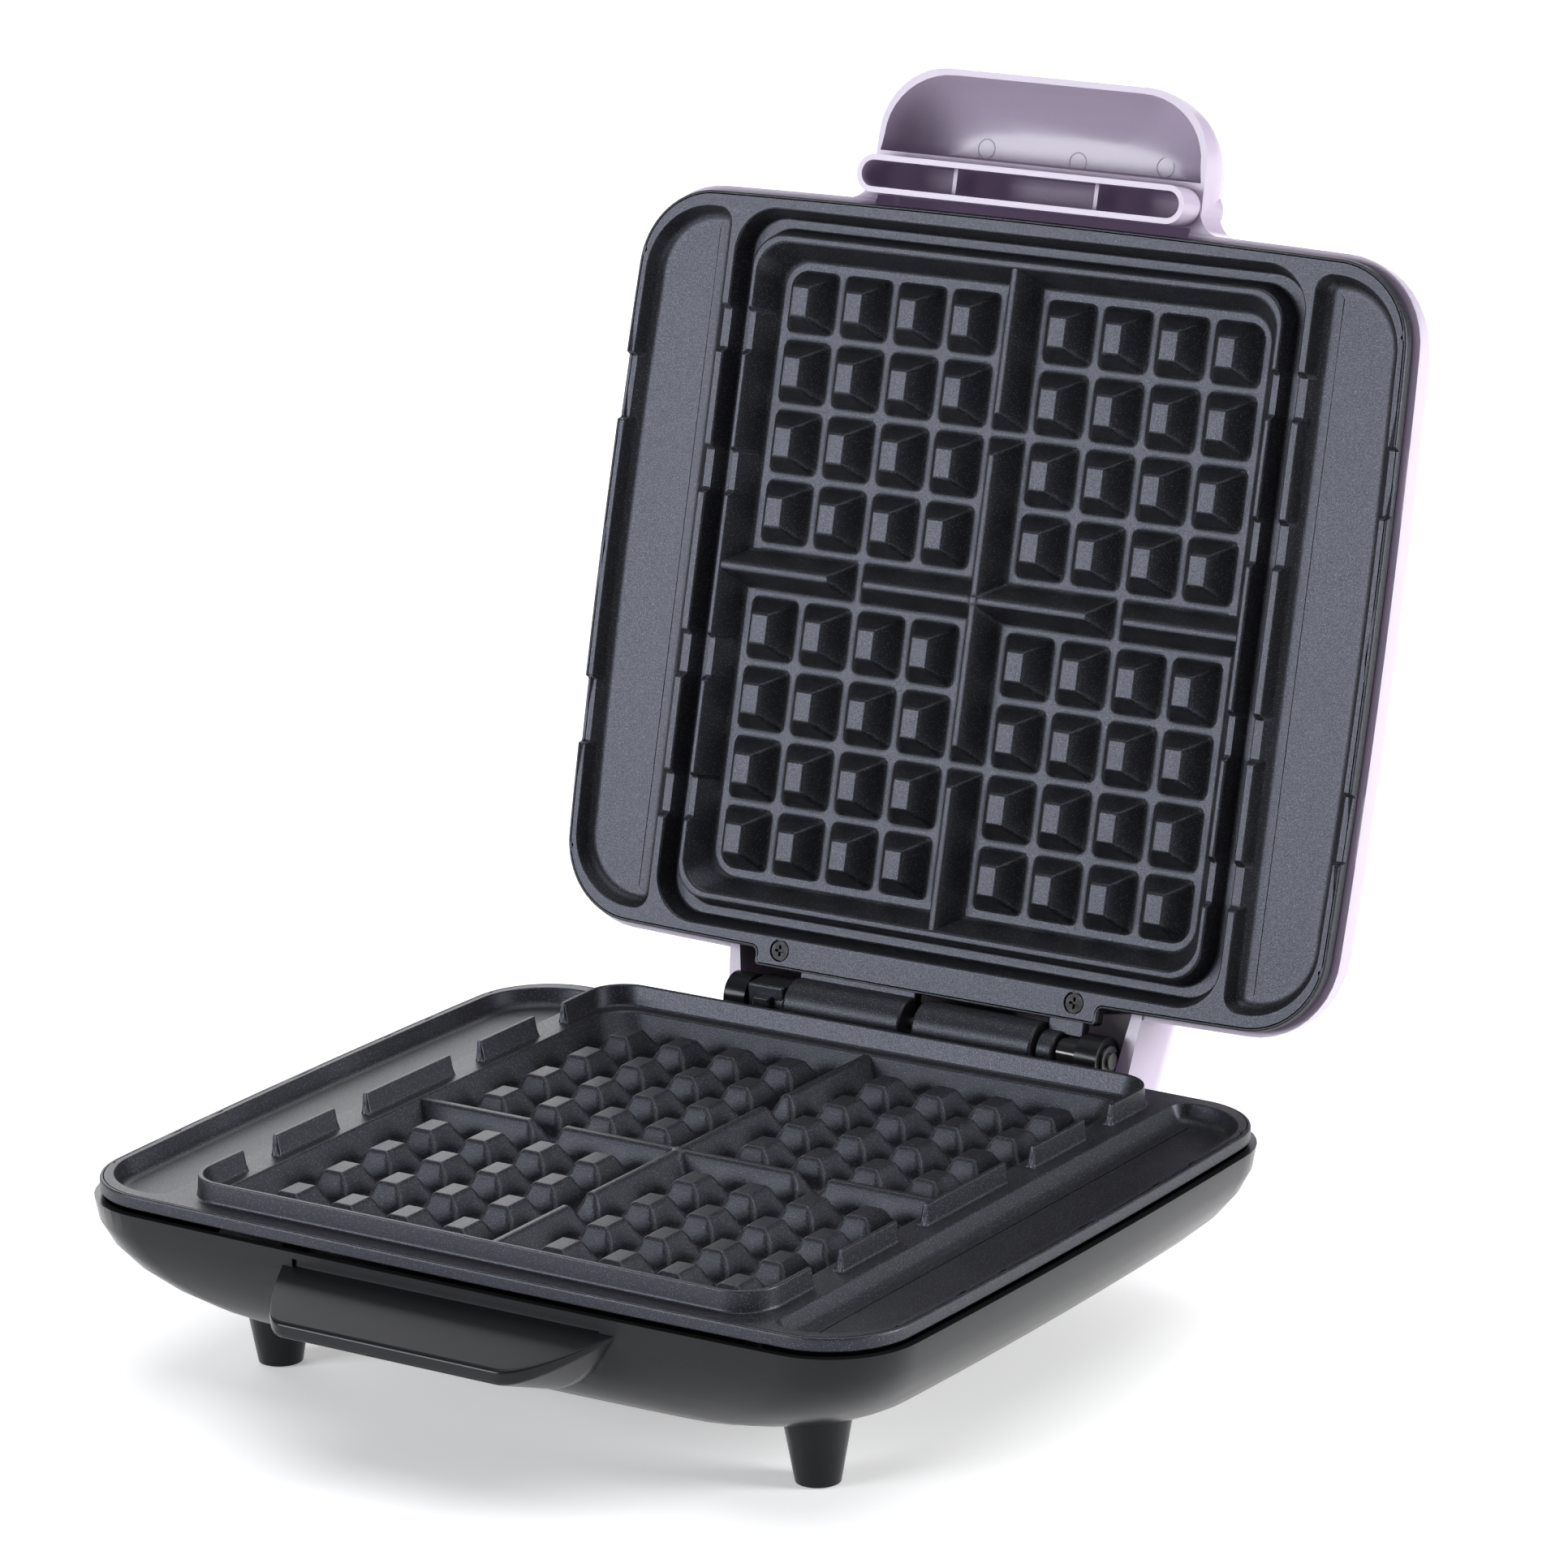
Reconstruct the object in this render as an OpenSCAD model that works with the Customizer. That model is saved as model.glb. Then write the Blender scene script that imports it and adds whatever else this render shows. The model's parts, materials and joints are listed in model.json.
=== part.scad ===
// Four-square waffle maker, shown open, resting on its four feet.
// X runs across the appliance, -Y is the front with the grips, +Z is up.
// The origin is on the worktop, under the middle of the open appliance.
// All lengths are in millimetres.

/* [Plates] */
// Half width of a cooking plate at the middle of its side
plate_half_w = 133.8; // [133:0.1:134.6]
// Half depth of a cooking plate at the middle of its front edge
plate_half_d = 113.5; // [113:0.1:114]
// Corner radius of the plate outline
plate_corner_r = 25; // [22:1:28]
// Height of the plate rim seen from the side
plate_rim_h = 3.9; // [3.4:0.1:4.4]
// Metal thickness behind every hollow of a plate
plate_wall = 2.4; // [2:0.1:2.8]
// Depth of the two side channels
tray_depth = 5.2; // [4:0.1:6]

/* [Waffle pattern] */
// Spacing of the studs across the appliance
pitch_x = 19; // [18.6:0.1:19.2]
// Spacing of the studs front to back
pitch_y = 21.3; // [20.9:0.1:21.5]
// Extra space between the four waffles
waffle_gap = 14.2; // [13.4:0.2:14.6]
// Depth of the mould below the plate land
mould_depth = 8.8; // [8:0.1:9.4]
// Height of the castellated wall on the lower plate
wall_h = 6; // [5:0.1:6.2]

/* [Base] */
// Height of the lower plate land above the worktop
parting_z = 59; // [56:0.5:64]
// Height of the curved part of both shells below their rims
base_bowl_h = 37; // [35:0.5:39]
// Wall thickness of the plastic shells
shell_wall = 2.4; // [2:0.1:2.8]
// Sideways distance of the front feet from the middle
foot_x = 90.7; // [85:0.1:95]
// Sideways distance of the rear feet from the middle
foot_rear_x = 52; // [48:1:56]
// Distance of the front feet in front of the middle
foot_front = 69.8; // [66:0.1:74]
// Distance of the rear feet behind the middle
foot_rear = 94; // [90:1:98]

/* [Lid] */
// Opening angle of the lid when it rests on its stop
open_angle = 104.8; // [95:0.2:105]
// Height of the curved part of the lid shell
lid_bowl_h = 43; // [41:0.5:46]
// Reach of the lid grip in front of the middle
grip_reach = 156; // [152:0.5:160]

/* [Hinge] */
// Distance of the hinge axis behind the middle
hinge_back = 127.7; // [127:0.1:129]
// Height of the hinge axis above the lower plate land
hinge_rise = 0.5; // [0.4:0.1:0.8]
// Diameter of the hinge pin
pin_d = 5; // [4:0.5:6]
// Outside radius of the hinge barrels
barrel_r = 8.2; // [7.6:0.1:8.4]

/* [Hidden] */
$fn = 48;

// Plate outline: sides and ends bow outward by these amounts
bow_side = 2.36;
bow_end = 1.8;

// Waffle pattern: centres of the eight columns and eight rows
cells = [-3.5, -2.5, -1.5, -0.5, 0.5, 1.5, 2.5, 3.5];
function centre(k, pitch) = k * pitch + sign(k) * waffle_gap / 2;
valley = 3.1;
stud_drop = 0.6;
stud_top_x = 3.15;
stud_top_y = 4.65;
ridge_half_base = 5.6;
ridge_half_top = 1.2;
ridge_gap = 1.5;
mould_half_x = centre(3.5, pitch_x) + pitch_x / 2 + 1.6;
mould_half_y = centre(3.5, pitch_y) + pitch_y / 2 + 1.9;
mould_slope = 4.9;
mould_corner_r = 9;
edge_half_x = mould_half_x + mould_slope;
edge_half_y = mould_half_y + mould_slope;

// Groove of the upper plate and the wall of the lower plate that enters it
groove_depth = 6.8;
lip_w = 1.8;
groove_w = 6.9;
groove_draft = 2.1;
wall_in = 3.5;
wall_w = 2.5;
notch_rows = [-71.2, -28.3, 28.3, 71.2];
notch_top = 14.6;
notch_bottom = 11.6;
notch_depth = 2.3;
rim_notch_y = 50;
rim_notch_l = 20;
rim_notch_depth = 2.2;

// Side channels
tray_inner_x = 100.8;
tray_outer_x = plate_half_w - 2.7;
tray_half_y = plate_half_d - 5.8;
tray_draft = 2.4;
tray_corner_r = 5;

// Hinge tab shared by both plates, measured in the frame of a plate
tab_half_w = 60;
tab_end_y = -117.6;
tab_t = plate_rim_h;
barrel_start = 2.2;
barrel_end = 43.2;
finger_start = 43.8;
finger_end = 49.6;
flange_end = 56;
running_gap = 0.05;
sleeve_gap = 0.6;
sleeve_l = 6.2;
sleeve_r = 4.6;
tab_screw_x = 51.5;
tab_screw_y = -112.8;
screw_head_r = 2.9;
screw_r = 1.5;

// Shells
plate_gap = 1.4;
rim_w = 1.7;
base_rim_z = parting_z - plate_rim_h - plate_gap;
base_half_w = plate_half_w + rim_w;
base_half_d = plate_half_d + rim_w;
base_side_run = 57;
base_end_run = 37.5;
bowl_steps = 9;
floor_t = shell_wall;
base_bottom_z = base_rim_z - base_bowl_h;

// Lid, drawn closed in its own frame: Z is the depth above the land of the upper plate
lid_gap = 0.4;
lid_rim_z = plate_rim_h + plate_gap;
lid_side_run = 54;
lid_end_run = 37.5;
lid_half_w = plate_half_w + rim_w;
lid_half_d = plate_half_d + rim_w;
lid_top_z = lid_rim_z + lid_bowl_h;
hinge_z = parting_z + hinge_rise;

// Distance of the origin behind the centre of the waffle pattern: it lies half way
// between the front of the base ledge and the back of the open lid
origin_back = 44.65;

// Inner parts
element_r = 3.3;
element_half_x = 58;
element_half_y = 62;
element_bend = 22;
terminal_x = 16;
plate_back = mould_depth + plate_wall;
shield_t = 0.8;
shield_z = plate_back + 2 * element_r + 2.6;

// ---------------------------------------------------------------- helpers

// The base parts are drawn around the centre of the waffle pattern
module on_base() {
    translate([0, -origin_back, 0])
        children();
}

// Puts the lid parts, drawn closed, into their resting open position
module on_lid() {
    on_base()
        translate([0, hinge_back, hinge_z])
            rotate([-open_angle, 0, 0])
                translate([0, -hinge_back, parting_z + lid_gap - hinge_z])
                    children();
}

// A plate is drawn with its cooking face up, its land at Z = 0 and its hinge towards -Y
module as_lower() {
    on_base()
        translate([0, 0, parting_z])
            rotate([0, 0, 180])
                children();
}

module as_upper() {
    on_lid()
        rotate([180, 0, 0])
            children();
}

module both_sides() {
    children();
    mirror([1, 0, 0])
        children();
}

module rounded_rect(hx, hy, r) {
    difference() {
        square([2 * hx, 2 * hy], center = true);
        for (sx = [-1, 1])
            for (sy = [-1, 1])
                translate([sx * (hx - r / 2 + 0.5), sy * (hy - r / 2 + 0.5)])
                    square(r + 1, center = true);
    }
    for (sx = [-1, 1])
        for (sy = [-1, 1])
            translate([sx * (hx - r), sy * (hy - r)])
                circle(r);
}

// Block with rounded vertical edges that narrows from the level z1 to the level z0
module tapered_block(hx1, hy1, r1, z1, hx0, hy0, r0, z0) {
    hull() {
        translate([0, 0, z1 - 0.01])
            linear_extrude(0.01)
                rounded_rect(hx1, hy1, r1, $fn = 32);
        translate([0, 0, z0])
            linear_extrude(0.01)
                rounded_rect(hx0, hy0, r0, $fn = 32);
    }
}

// Points of a bowed rounded outline, used for the plates and the curved skins
corner_pts = 10;
edge_pts = 6;
function quarter(w, d, r, bx, by) =
    let (yc = d - r - by * pow((w - r) / w, 2), xc = w - r - bx * pow((d - r) / d, 2))
    concat(
        [for (i = [0 : edge_pts - 1])
            let (y = yc * i / edge_pts)
            [w - bx * pow(y / d, 2), y]],
        [for (i = [0 : corner_pts])
            [xc + r * cos(90 * i / corner_pts), yc + r * sin(90 * i / corner_pts)]],
        [for (i = [1 : edge_pts])
            let (x = xc * (1 - i / edge_pts))
            [x, d - by * pow(x / w, 2)]]
    );
function ring(w, d, r, bx, by) =
    let (q = quarter(w, d, r, bx, by), n = len(q))
    concat(
        q,
        [for (i = [n - 2 : -1 : 0]) [-q[i][0], q[i][1]]],
        [for (i = [1 : n - 1]) [-q[i][0], -q[i][1]]],
        [for (i = [n - 2 : -1 : 1]) [q[i][0], -q[i][1]]]
    );

// Plan of a plate: four slightly bowed edges joined by rounded corners
module plate_plan(w, d, r) {
    polygon(ring(w, d, r, bow_side, bow_end));
}

// Skin through a stack of rings with equal point counts, lowest ring first
module loft(rings, heights) {
    n = len(rings[0]);
    m = len(rings);
    points = [for (k = [0 : m - 1]) for (p = rings[k]) [p[0], p[1], heights[k]]];
    bottom = [for (i = [0 : n - 1]) i];
    top = [for (i = [n - 1 : -1 : 0]) (m - 1) * n + i];
    sides = [for (k = [0 : m - 2]) for (i = [0 : n - 1])
        let (j = (i + 1) % n)
        each [[k * n + i, (k + 1) * n + i, k * n + j], [k * n + j, (k + 1) * n + i, (k + 1) * n + j]]];
    polyhedron(points, concat([bottom], [top], sides), convexity = 8);
}

// Fraction of the inward run at the fraction t of the bowl height
function run(t) = 1 - sqrt(1 - min(t, 1) * min(t, 1));

// Shell skin: upright at the rim (Z = 0), curving in towards the closed end at Z = height.
// The inner skin is thinner all round and starts below the rim, so it cuts the shell open.
module bowl(half_w, half_d, side_run, end_run, height, thin) {
    ts = [for (k = [0 : bowl_steps]) sin(90 * k / bowl_steps)];
    rings = [for (t = ts)
        ring(half_w - thin - side_run * run(t), half_d - thin - end_run * run(t),
             plate_corner_r + rim_w - thin + 26 * run(t),
             bow_side * (1 + run(t)), bow_end * (1 + run(t)))];
    heights = [for (t = ts) t * (height - thin)];
    loft(concat([rings[0]], rings), concat([thin > 0 ? -20 : -0.01], heights));
}

module tube_between(a, b, r) {
    v = b - a;
    translate(a)
        rotate([0, acos(v[2] / norm(v)), atan2(v[1], v[0])])
            cylinder(r = r, h = norm(v));
}

// Wire through a list of points, with a slightly larger ball at every bend
module wire(path, r) {
    for (i = [0 : len(path) - 2])
        tube_between(path[i], path[i + 1], r, $fn = wire_sides);
    for (i = [1 : len(path) - 2])
        translate(path[i])
            sphere(r * 1.15, $fn = wire_sides);
}

// ---------------------------------------------------------------- plates

// Bars with sloping flanks across X, one for each centre on the Y axis
module bars_x(centres, half_base, half_top, drop, reach) {
    rotate([90, 0, 90])
        linear_extrude(2 * reach, center = true)
            for (c = centres)
                translate([c, 0])
                    polygon([
                        [-half_base, -mould_depth - 0.5], [half_base, -mould_depth - 0.5],
                        [half_base, -mould_depth], [half_top, -drop],
                        [-half_top, -drop], [-half_base, -mould_depth]
                    ]);
}

module bars_y(centres, half_base, half_top, drop, reach) {
    rotate([0, 0, -90])
        bars_x(centres, half_base, half_top, drop, reach);
}

module studs() {
    intersection() {
        bars_x([for (k = cells) centre(k, pitch_y)],
               (pitch_y - valley) / 2, stud_top_y, stud_drop, mould_half_x);
        bars_y([for (k = cells) centre(k, pitch_x)],
               (pitch_x - valley) / 2, stud_top_x, stud_drop, mould_half_y);
        translate([0, 0, -mould_depth - 1])
            linear_extrude(mould_depth + 1)
                rounded_rect(mould_half_x - 1.7, mould_half_y - 2, mould_corner_r - 2);
    }
}

// Ridges between the four waffles, broken by a small channel in each arm
module ridge_along_x(reach, gap_at) {
    slope = ridge_half_base - ridge_half_top;
    inner = gap_at - ridge_gap;
    outer = gap_at + ridge_gap;
    intersection() {
        bars_x([0], ridge_half_base, ridge_half_top, 0.3, reach);
        rotate([90, 0, 0])
            linear_extrude(4 * ridge_half_base, center = true) {
                polygon([
                    [-inner, -mould_depth - 0.5], [inner, -mould_depth - 0.5], [inner, -mould_depth],
                    [inner - slope, 0], [slope - inner, 0], [-inner, -mould_depth]
                ]);
                both_sides()
                    polygon([
                        [outer, -mould_depth - 0.5], [reach, -mould_depth - 0.5],
                        [reach, 0], [outer + slope, 0], [outer, -mould_depth]
                    ]);
            }
    }
}

module pattern() {
    studs();
    ridge_along_x(edge_half_x + 0.6, centre(2, pitch_x));
    rotate([0, 0, 90])
        ridge_along_x(edge_half_y + 0.6, centre(2, pitch_y));
}

module mould_cut() {
    tapered_block(edge_half_x, edge_half_y, mould_corner_r, 0.6, mould_half_x, mould_half_y,
                  mould_corner_r, -mould_depth);
}

// Outline of a side channel at a given inset: straight inner side, bowed outer side, round corners
function arc(c, r, a0, a1, n) =
    [for (i = [0 : n]) let (a = a0 + (a1 - a0) * i / n) c + r * [cos(a), sin(a)]];
function below(points) =
    [for (i = [len(points) - 1 : -1 : 0]) [points[i][0], -points[i][1]]];
function tray_outline(inset) =
    let (w = tray_outer_x - inset, d = tray_half_y - inset, inner = tray_inner_x + inset,
         r_out = plate_corner_r - 3 - inset, r_in = tray_corner_r - inset,
         out_c = [w - r_out - bow_side * pow((d - r_out) / w, 2), d - r_out],
         outer_corner = arc(out_c, r_out, 0, 90, 10),
         inner_corner = arc([inner + r_in, d - r_in], r_in, 90, 180, 5))
    concat([[w, 0]], outer_corner, inner_corner, [[inner, 0]], below(inner_corner), below(outer_corner));

module tray_cut(depth) {
    loft([tray_outline(tray_draft), tray_outline(0)], [-depth, 0.6]);
}

// Trapezoid opening, wide at the top, used for the steam notches
module notch_cut(y, length, narrow, depth, x0, x1) {
    translate([x0, y, 0])
        rotate([90, 0, 90])
            linear_extrude(x1 - x0)
                polygon([[-narrow / 2, -depth], [narrow / 2, -depth], [length / 2, 0],
                         [length / 2, 12], [-length / 2, 12], [-length / 2, 0]]);
}

// Flat plate with the thicker zones behind the mould, the groove and the channels
module plate_blank(tray) {
    translate([0, 0, -plate_rim_h])
        linear_extrude(plate_rim_h)
            plate_plan(plate_half_w, plate_half_d, plate_corner_r);
    translate([0, 0, -groove_depth - plate_wall])
        linear_extrude(groove_depth)
            rounded_rect(edge_half_x + 11, edge_half_y + 10, 15);
    translate([0, 0, -plate_back])
        linear_extrude(plate_back - 1)
            rounded_rect(mould_half_x + 2.6, mould_half_y + 2.6, mould_corner_r + 2.6);
    translate([0, 0, -tray - plate_wall])
        linear_extrude(tray)
            difference() {
                plate_plan(plate_half_w - 2.8, plate_half_d - 4, plate_corner_r - 3);
                square([2 * edge_half_x, 3 * plate_half_d], center = true);
            }
}

// Hinge side of a plate: tab, long barrel on one half, finger knuckle on the other
module hinge_side(axis_z) {
    translate([0, 0, -tab_t])
        linear_extrude(tab_t) {
            translate([-tab_half_w, tab_end_y])
                square([2 * tab_half_w, -tab_end_y - 108]);
            translate([-barrel_end, -hinge_back + pin_d])
                square([barrel_end - barrel_start, 12]);
            translate([finger_start, -hinge_back + pin_d])
                square([flange_end - finger_start, 8]);
        }
    translate([-barrel_end, -hinge_back, axis_z])
        rotate([0, 90, 0])
            cylinder(r = barrel_r, h = barrel_end - barrel_start);
    translate([finger_start, -hinge_back, axis_z])
        rotate([0, 90, 0])
            cylinder(r = barrel_r - 2, h = finger_end - finger_start);
}

module hinge_side_cuts(axis_z) {
    translate([-tab_half_w - 1, -hinge_back, axis_z])
        rotate([0, 90, 0])
            cylinder(r = pin_d / 2 + running_gap, h = 2 * tab_half_w + 2);
    for (s = [-1, 1])
        translate([s * tab_screw_x, tab_screw_y, 0]) {
            translate([0, 0, -tab_t - 1])
                cylinder(r = screw_r + 0.2, h = tab_t + 2);
            translate([0, 0, -2])
                cylinder(r = screw_head_r + 0.3, h = 3);
        }
}

// Upper plate: mould, groove all round it, lip, steam notches
module plate_groove() {
    difference() {
        tapered_block(edge_half_x + lip_w + groove_w, edge_half_y + lip_w + groove_w + 0.4, 14, 0.6,
                      edge_half_x + lip_w + groove_w - groove_draft,
                      edge_half_y + lip_w + groove_w + 0.4 - groove_draft, 12, -groove_depth);
        tapered_block(edge_half_x + lip_w, edge_half_y + lip_w + 0.4, 10, 1,
                      edge_half_x + lip_w + 2, edge_half_y + lip_w + 2.2, 12, -groove_depth - 1);
    }
}

module upper_plate() {
    axis_z = -(hinge_rise - lid_gap);
    color([0.24, 0.24, 0.26])
        as_upper() {
            difference() {
                union() {
                    plate_blank(tray_depth);
                    hinge_side(axis_z);
                }
                mould_cut();
                plate_groove();
                both_sides()
                    tray_cut(tray_depth);
                both_sides() {
                    for (y = notch_rows)
                        notch_cut(y, notch_top, notch_bottom, notch_depth, edge_half_x - 2, tray_inner_x + 3);
                    for (s = [-1, 1])
                        notch_cut(s * rim_notch_y, rim_notch_l + 1.5, rim_notch_l - 1, rim_notch_depth,
                                  tray_outer_x - 4, plate_half_w + 2);
                }
                hinge_side_cuts(axis_z);
            }
            pattern();
        }
}

// Lower plate: mould inside a castellated wall that enters the groove above
module mould_wall() {
    x_out = edge_half_x + wall_in + wall_w;
    y_out = edge_half_y + wall_in + wall_w + 1;
    difference() {
        tapered_block(x_out - 0.3, y_out - 0.3, 12, wall_h, x_out, y_out, 12, -1);
        tapered_block(x_out - 1.7, y_out - 1.7, 10.5, wall_h + 1, x_out - wall_w, y_out - wall_w, 10, -2);
        for (y = notch_rows)
            for (s = [-1, 1])
                translate([s * x_out, y, 0])
                    rotate([90, 0, 90])
                        linear_extrude(4 * wall_w, center = true)
                            polygon([[-7, 0], [7, 0], [7.6, wall_h + 1], [-7.6, wall_h + 1]]);
    }
}

module lower_plate() {
    color([0.24, 0.24, 0.26])
        as_lower() {
            difference() {
                union() {
                    plate_blank(tray_depth);
                    hinge_side(hinge_rise);
                    mould_wall();
                }
                mould_cut();
                both_sides()
                    tray_cut(tray_depth);
                hinge_side_cuts(hinge_rise);
            }
            pattern();
        }
}

// ---------------------------------------------------------------- base

module pan_screw(length) {
    difference() {
        union() {
            translate([0, 0, -1.9])
                cylinder(r = screw_head_r, h = 1.6);
            translate([0, 0, -length])
                cylinder(r = screw_r, h = length - 1);
        }
        for (turn = [0, 90])
            rotate([0, 0, turn])
                translate([0, 0, -0.3])
                    cube([3.4, 0.8, 2], center = true);
    }
}

module plate_screws() {
    for (s = [-1, 1])
        translate([s * tab_screw_x, tab_screw_y, 0])
            pan_screw(16);
}

foot_top_r = 12.5;
foot_bottom_r = 6.4;
pad_r = 4.8;
pad_h = 1.4;

module at_feet() {
    for (s = [-1, 1]) {
        translate([s * foot_x, -foot_front, 0])
            children();
        translate([s * foot_rear_x, foot_rear, 0])
            children();
    }
}

// The cones run up into the hollow of the bowl, which trims them
foot_h = base_bottom_z + 18;

module feet() {
    at_feet()
        translate([0, 0, 0.5])
            cylinder(r1 = foot_bottom_r, r2 = foot_top_r, h = foot_h);
}

module foot_pads() {
    color([0.12, 0.12, 0.12])
        on_base()
            at_feet()
                cylinder(r = pad_r, h = pad_h + 1.1);
}

ledge_left = [-55, -38];
ledge_right = [33, 56];
ledge_reach = 138.2;
ledge_root = plate_half_d;
ledge_drop = 9.8;
ledge_fall = 6.5;
ledge_lip = 3.2;
ledge_web = 9;

function ease(t) = let (c = min(max(t, 0), 1)) c * c * (3 - 2 * c);

// How far the ledge stands out at a place along the front, from 0 at its ends to 1
function ledge_out(x) = sqrt(min(
    ease((x - ledge_left[0]) / (ledge_left[1] - ledge_left[0])),
    ease((ledge_right[1] - x) / (ledge_right[1] - ledge_right[0]))
));

// Section of the ledge at a given reach, from the front edge back under it and over the top
function ledge_section(out) = let (
    front = ledge_root + (ledge_reach - ledge_root) * out,
    top = parting_z - ledge_drop,
    lip_top = top - ledge_fall * out,
    lip_bottom = lip_top - ledge_lip * out - 0.4
) [
    [-front, lip_top], [-front, lip_bottom], [-ledge_root, lip_bottom - ledge_web * out],
    [-ledge_root + 7, lip_bottom - ledge_web * out], [-ledge_root + 7, top], [-ledge_root, top]
];

// Front ledge: a shelf below the rim, swept into the wall at both ends, whose top falls gently to the front
module ledge() {
    steps = 36;
    span = ledge_right[1] - ledge_left[0];
    xs = [for (k = [0:steps]) ledge_left[0] + span * k / steps];
    rotate([90, 0, 90])
        loft([for (x = xs) ledge_section(ledge_out(x))], xs);
}

tower_in = 57.6;
tower_out = 65;
tower_r = 7;

// Arms behind the base that carry the ends of the hinge pin
module towers() {
    both_sides()
        translate([tower_in, 0, 0])
            rotate([90, 0, 90])
                linear_extrude(tower_out - tower_in) {
                    translate([hinge_back, hinge_z])
                        circle(tower_r);
                    polygon([
                        [plate_half_d - 3, base_rim_z + 0.6], [-tab_end_y + 1.2, base_rim_z + 0.6],
                        [hinge_back - 6, hinge_z + 2], [hinge_back + 6, hinge_z - 3],
                        [hinge_back + 2, hinge_z - 9], [plate_half_d - 3, base_rim_z - 12]
                    ]);
                }
}

stop_x = 32;
housing_rim_z = 4.8;

// Ribs that the back of the lid housing leans on when the lid is open
module lid_stops() {
    both_sides()
        translate([stop_x, plate_half_d - 2, hinge_z - 19])
            cube([4, hinge_back - plate_half_d + 0.4, 5]);
}

gland_x = -88;
gland_z = 38;
gland_r = 5.5;
gland_bore_r = 3.5;
gland_y = plate_half_d - 0.5;

tab_post_r = 3.5;
front_post_x = 60;
front_post_y = 101.5;
front_post_rise = 13;

// Bosses inside the base: two for the plate screws at the hinge, two under the front of the plate
module posts() {
    for (s = [-1, 1]) {
        translate([s * tab_screw_x, -tab_screw_y, parting_z - 24])
            cylinder(r = tab_post_r, h = 24 - plate_rim_h);
        translate([s * front_post_x, -front_post_y, base_bottom_z + front_post_rise])
            cylinder(r = 3.5, h = parting_z - groove_depth - plate_wall - base_bottom_z - front_post_rise);
    }
}

module base_bowl(thin) {
    translate([0, 0, base_rim_z])
        mirror([0, 0, 1])
            bowl(base_half_w, base_half_d, base_side_run, base_end_run, base_bowl_h, thin);
}

module base_shell() {
    color([0.13, 0.13, 0.14])
        on_base()
            difference() {
                union() {
                    difference() {
                        base_bowl(0);
                        base_bowl(shell_wall);
                    }
                    posts();
                    difference() {
                        union() {
                            ledge();
                            towers();
                            feet();
                            lid_stops();
                            translate([gland_x, gland_y - 14, gland_z])
                                rotate([-90, 0, 0])
                                    cylinder(r = gland_r + 2.5, h = 14);
                        }
                        base_bowl(shell_wall);
                    }
                }
                translate([-51, -base_half_d - 5, parting_z - 11.4])
                    cube([102, 6.6, 4.2]);
                at_feet()
                    translate([0, 0, -1])
                        cylinder(r = pad_r, h = pad_h + 2.1);
                for (s = [-1, 1])
                    translate([s * tab_screw_x, -tab_screw_y, parting_z - 18])
                        cylinder(r = screw_r + running_gap, h = 20);
                translate([gland_x, gland_y - 20, gland_z])
                    rotate([-90, 0, 0])
                        cylinder(r = gland_r, h = 30);
                translate([-tower_out - 1, hinge_back, hinge_z])
                    rotate([0, 90, 0])
                        cylinder(r = pin_d / 2 + running_gap, h = 2 * tower_out + 2);
            }
}

// Rubber bush in the rear wall through which the supply cord enters
module cord_gland() {
    color([0.1, 0.1, 0.1])
        on_base()
            translate([gland_x, gland_y, gland_z])
                rotate([-90, 0, 0])
                    difference() {
                        union() {
                            translate([0, 0, -6])
                                cylinder(r = gland_r - 0.05, h = 10);
                            translate([0, 0, 2.2])
                                cylinder(r = gland_r + 2, h = 3);
                        }
                        translate([0, 0, -7])
                            cylinder(r = gland_bore_r, h = 14);
                    }
}

// ---------------------------------------------------------------- hinge

module hinge_pin() {
    color([0.72, 0.72, 0.74])
        on_base()
            translate([-tower_out - 2, hinge_back, hinge_z])
                rotate([0, 90, 0])
                    cylinder(r = pin_d / 2, h = 2 * tower_out + 4);
}

module hinge_clips() {
    color([0.6, 0.6, 0.62])
        on_base()
            for (s = [-1, 1])
                translate([s * (tower_out + 0.6), hinge_back, hinge_z])
                    rotate([0, 90, 0])
                        difference() {
                            cylinder(r = pin_d / 2 + 2, h = 0.8, center = true);
                            cylinder(r = pin_d / 2 + 0.02, h = 2, center = true);
                            translate([0, 4, 0])
                                cube([pin_d * 0.7, 8, 2], center = true);
                        }
}

// Spacer sleeve on the pin between the upper finger and the right-hand tower
module hinge_sleeve() {
    color([0.05, 0.05, 0.06])
        on_base()
            translate([finger_end + sleeve_gap, hinge_back, hinge_z])
                rotate([0, 90, 0])
                    difference() {
                        cylinder(r = sleeve_r, h = sleeve_l);
                        translate([0, 0, -1])
                            cylinder(r = pin_d / 2 + running_gap, h = sleeve_l + 2);
                    }
}

// ---------------------------------------------------------------- lid shell

// Plan of the grip at a given inset: wide D with rounded outer corners, flat towards the lid
grip_half_w = 56.4;
function grip_ring(inset, inner_y) =
    let (hw = grip_half_w - inset, reach = grip_reach - inset, n = 10,
         rx = min(22, hw * 0.6), ry = min(21, 0.8 * (reach + inner_y)))
    concat(
        [[hw + 0.8, inner_y], [-hw - 0.8, inner_y]],
        [for (i = [0 : n]) let (a = 90 * i / n) [-hw + rx - rx * cos(a), -reach + ry - ry * sin(a)]],
        [for (i = [n : -1 : 0]) let (a = 90 * i / n) [hw - rx + rx * cos(a), -reach + ry - ry * sin(a)]]
    );

grip_rim_z = 6.3;
grip_inner_y = -129.6;
grip_wall = 1.9;

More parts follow.
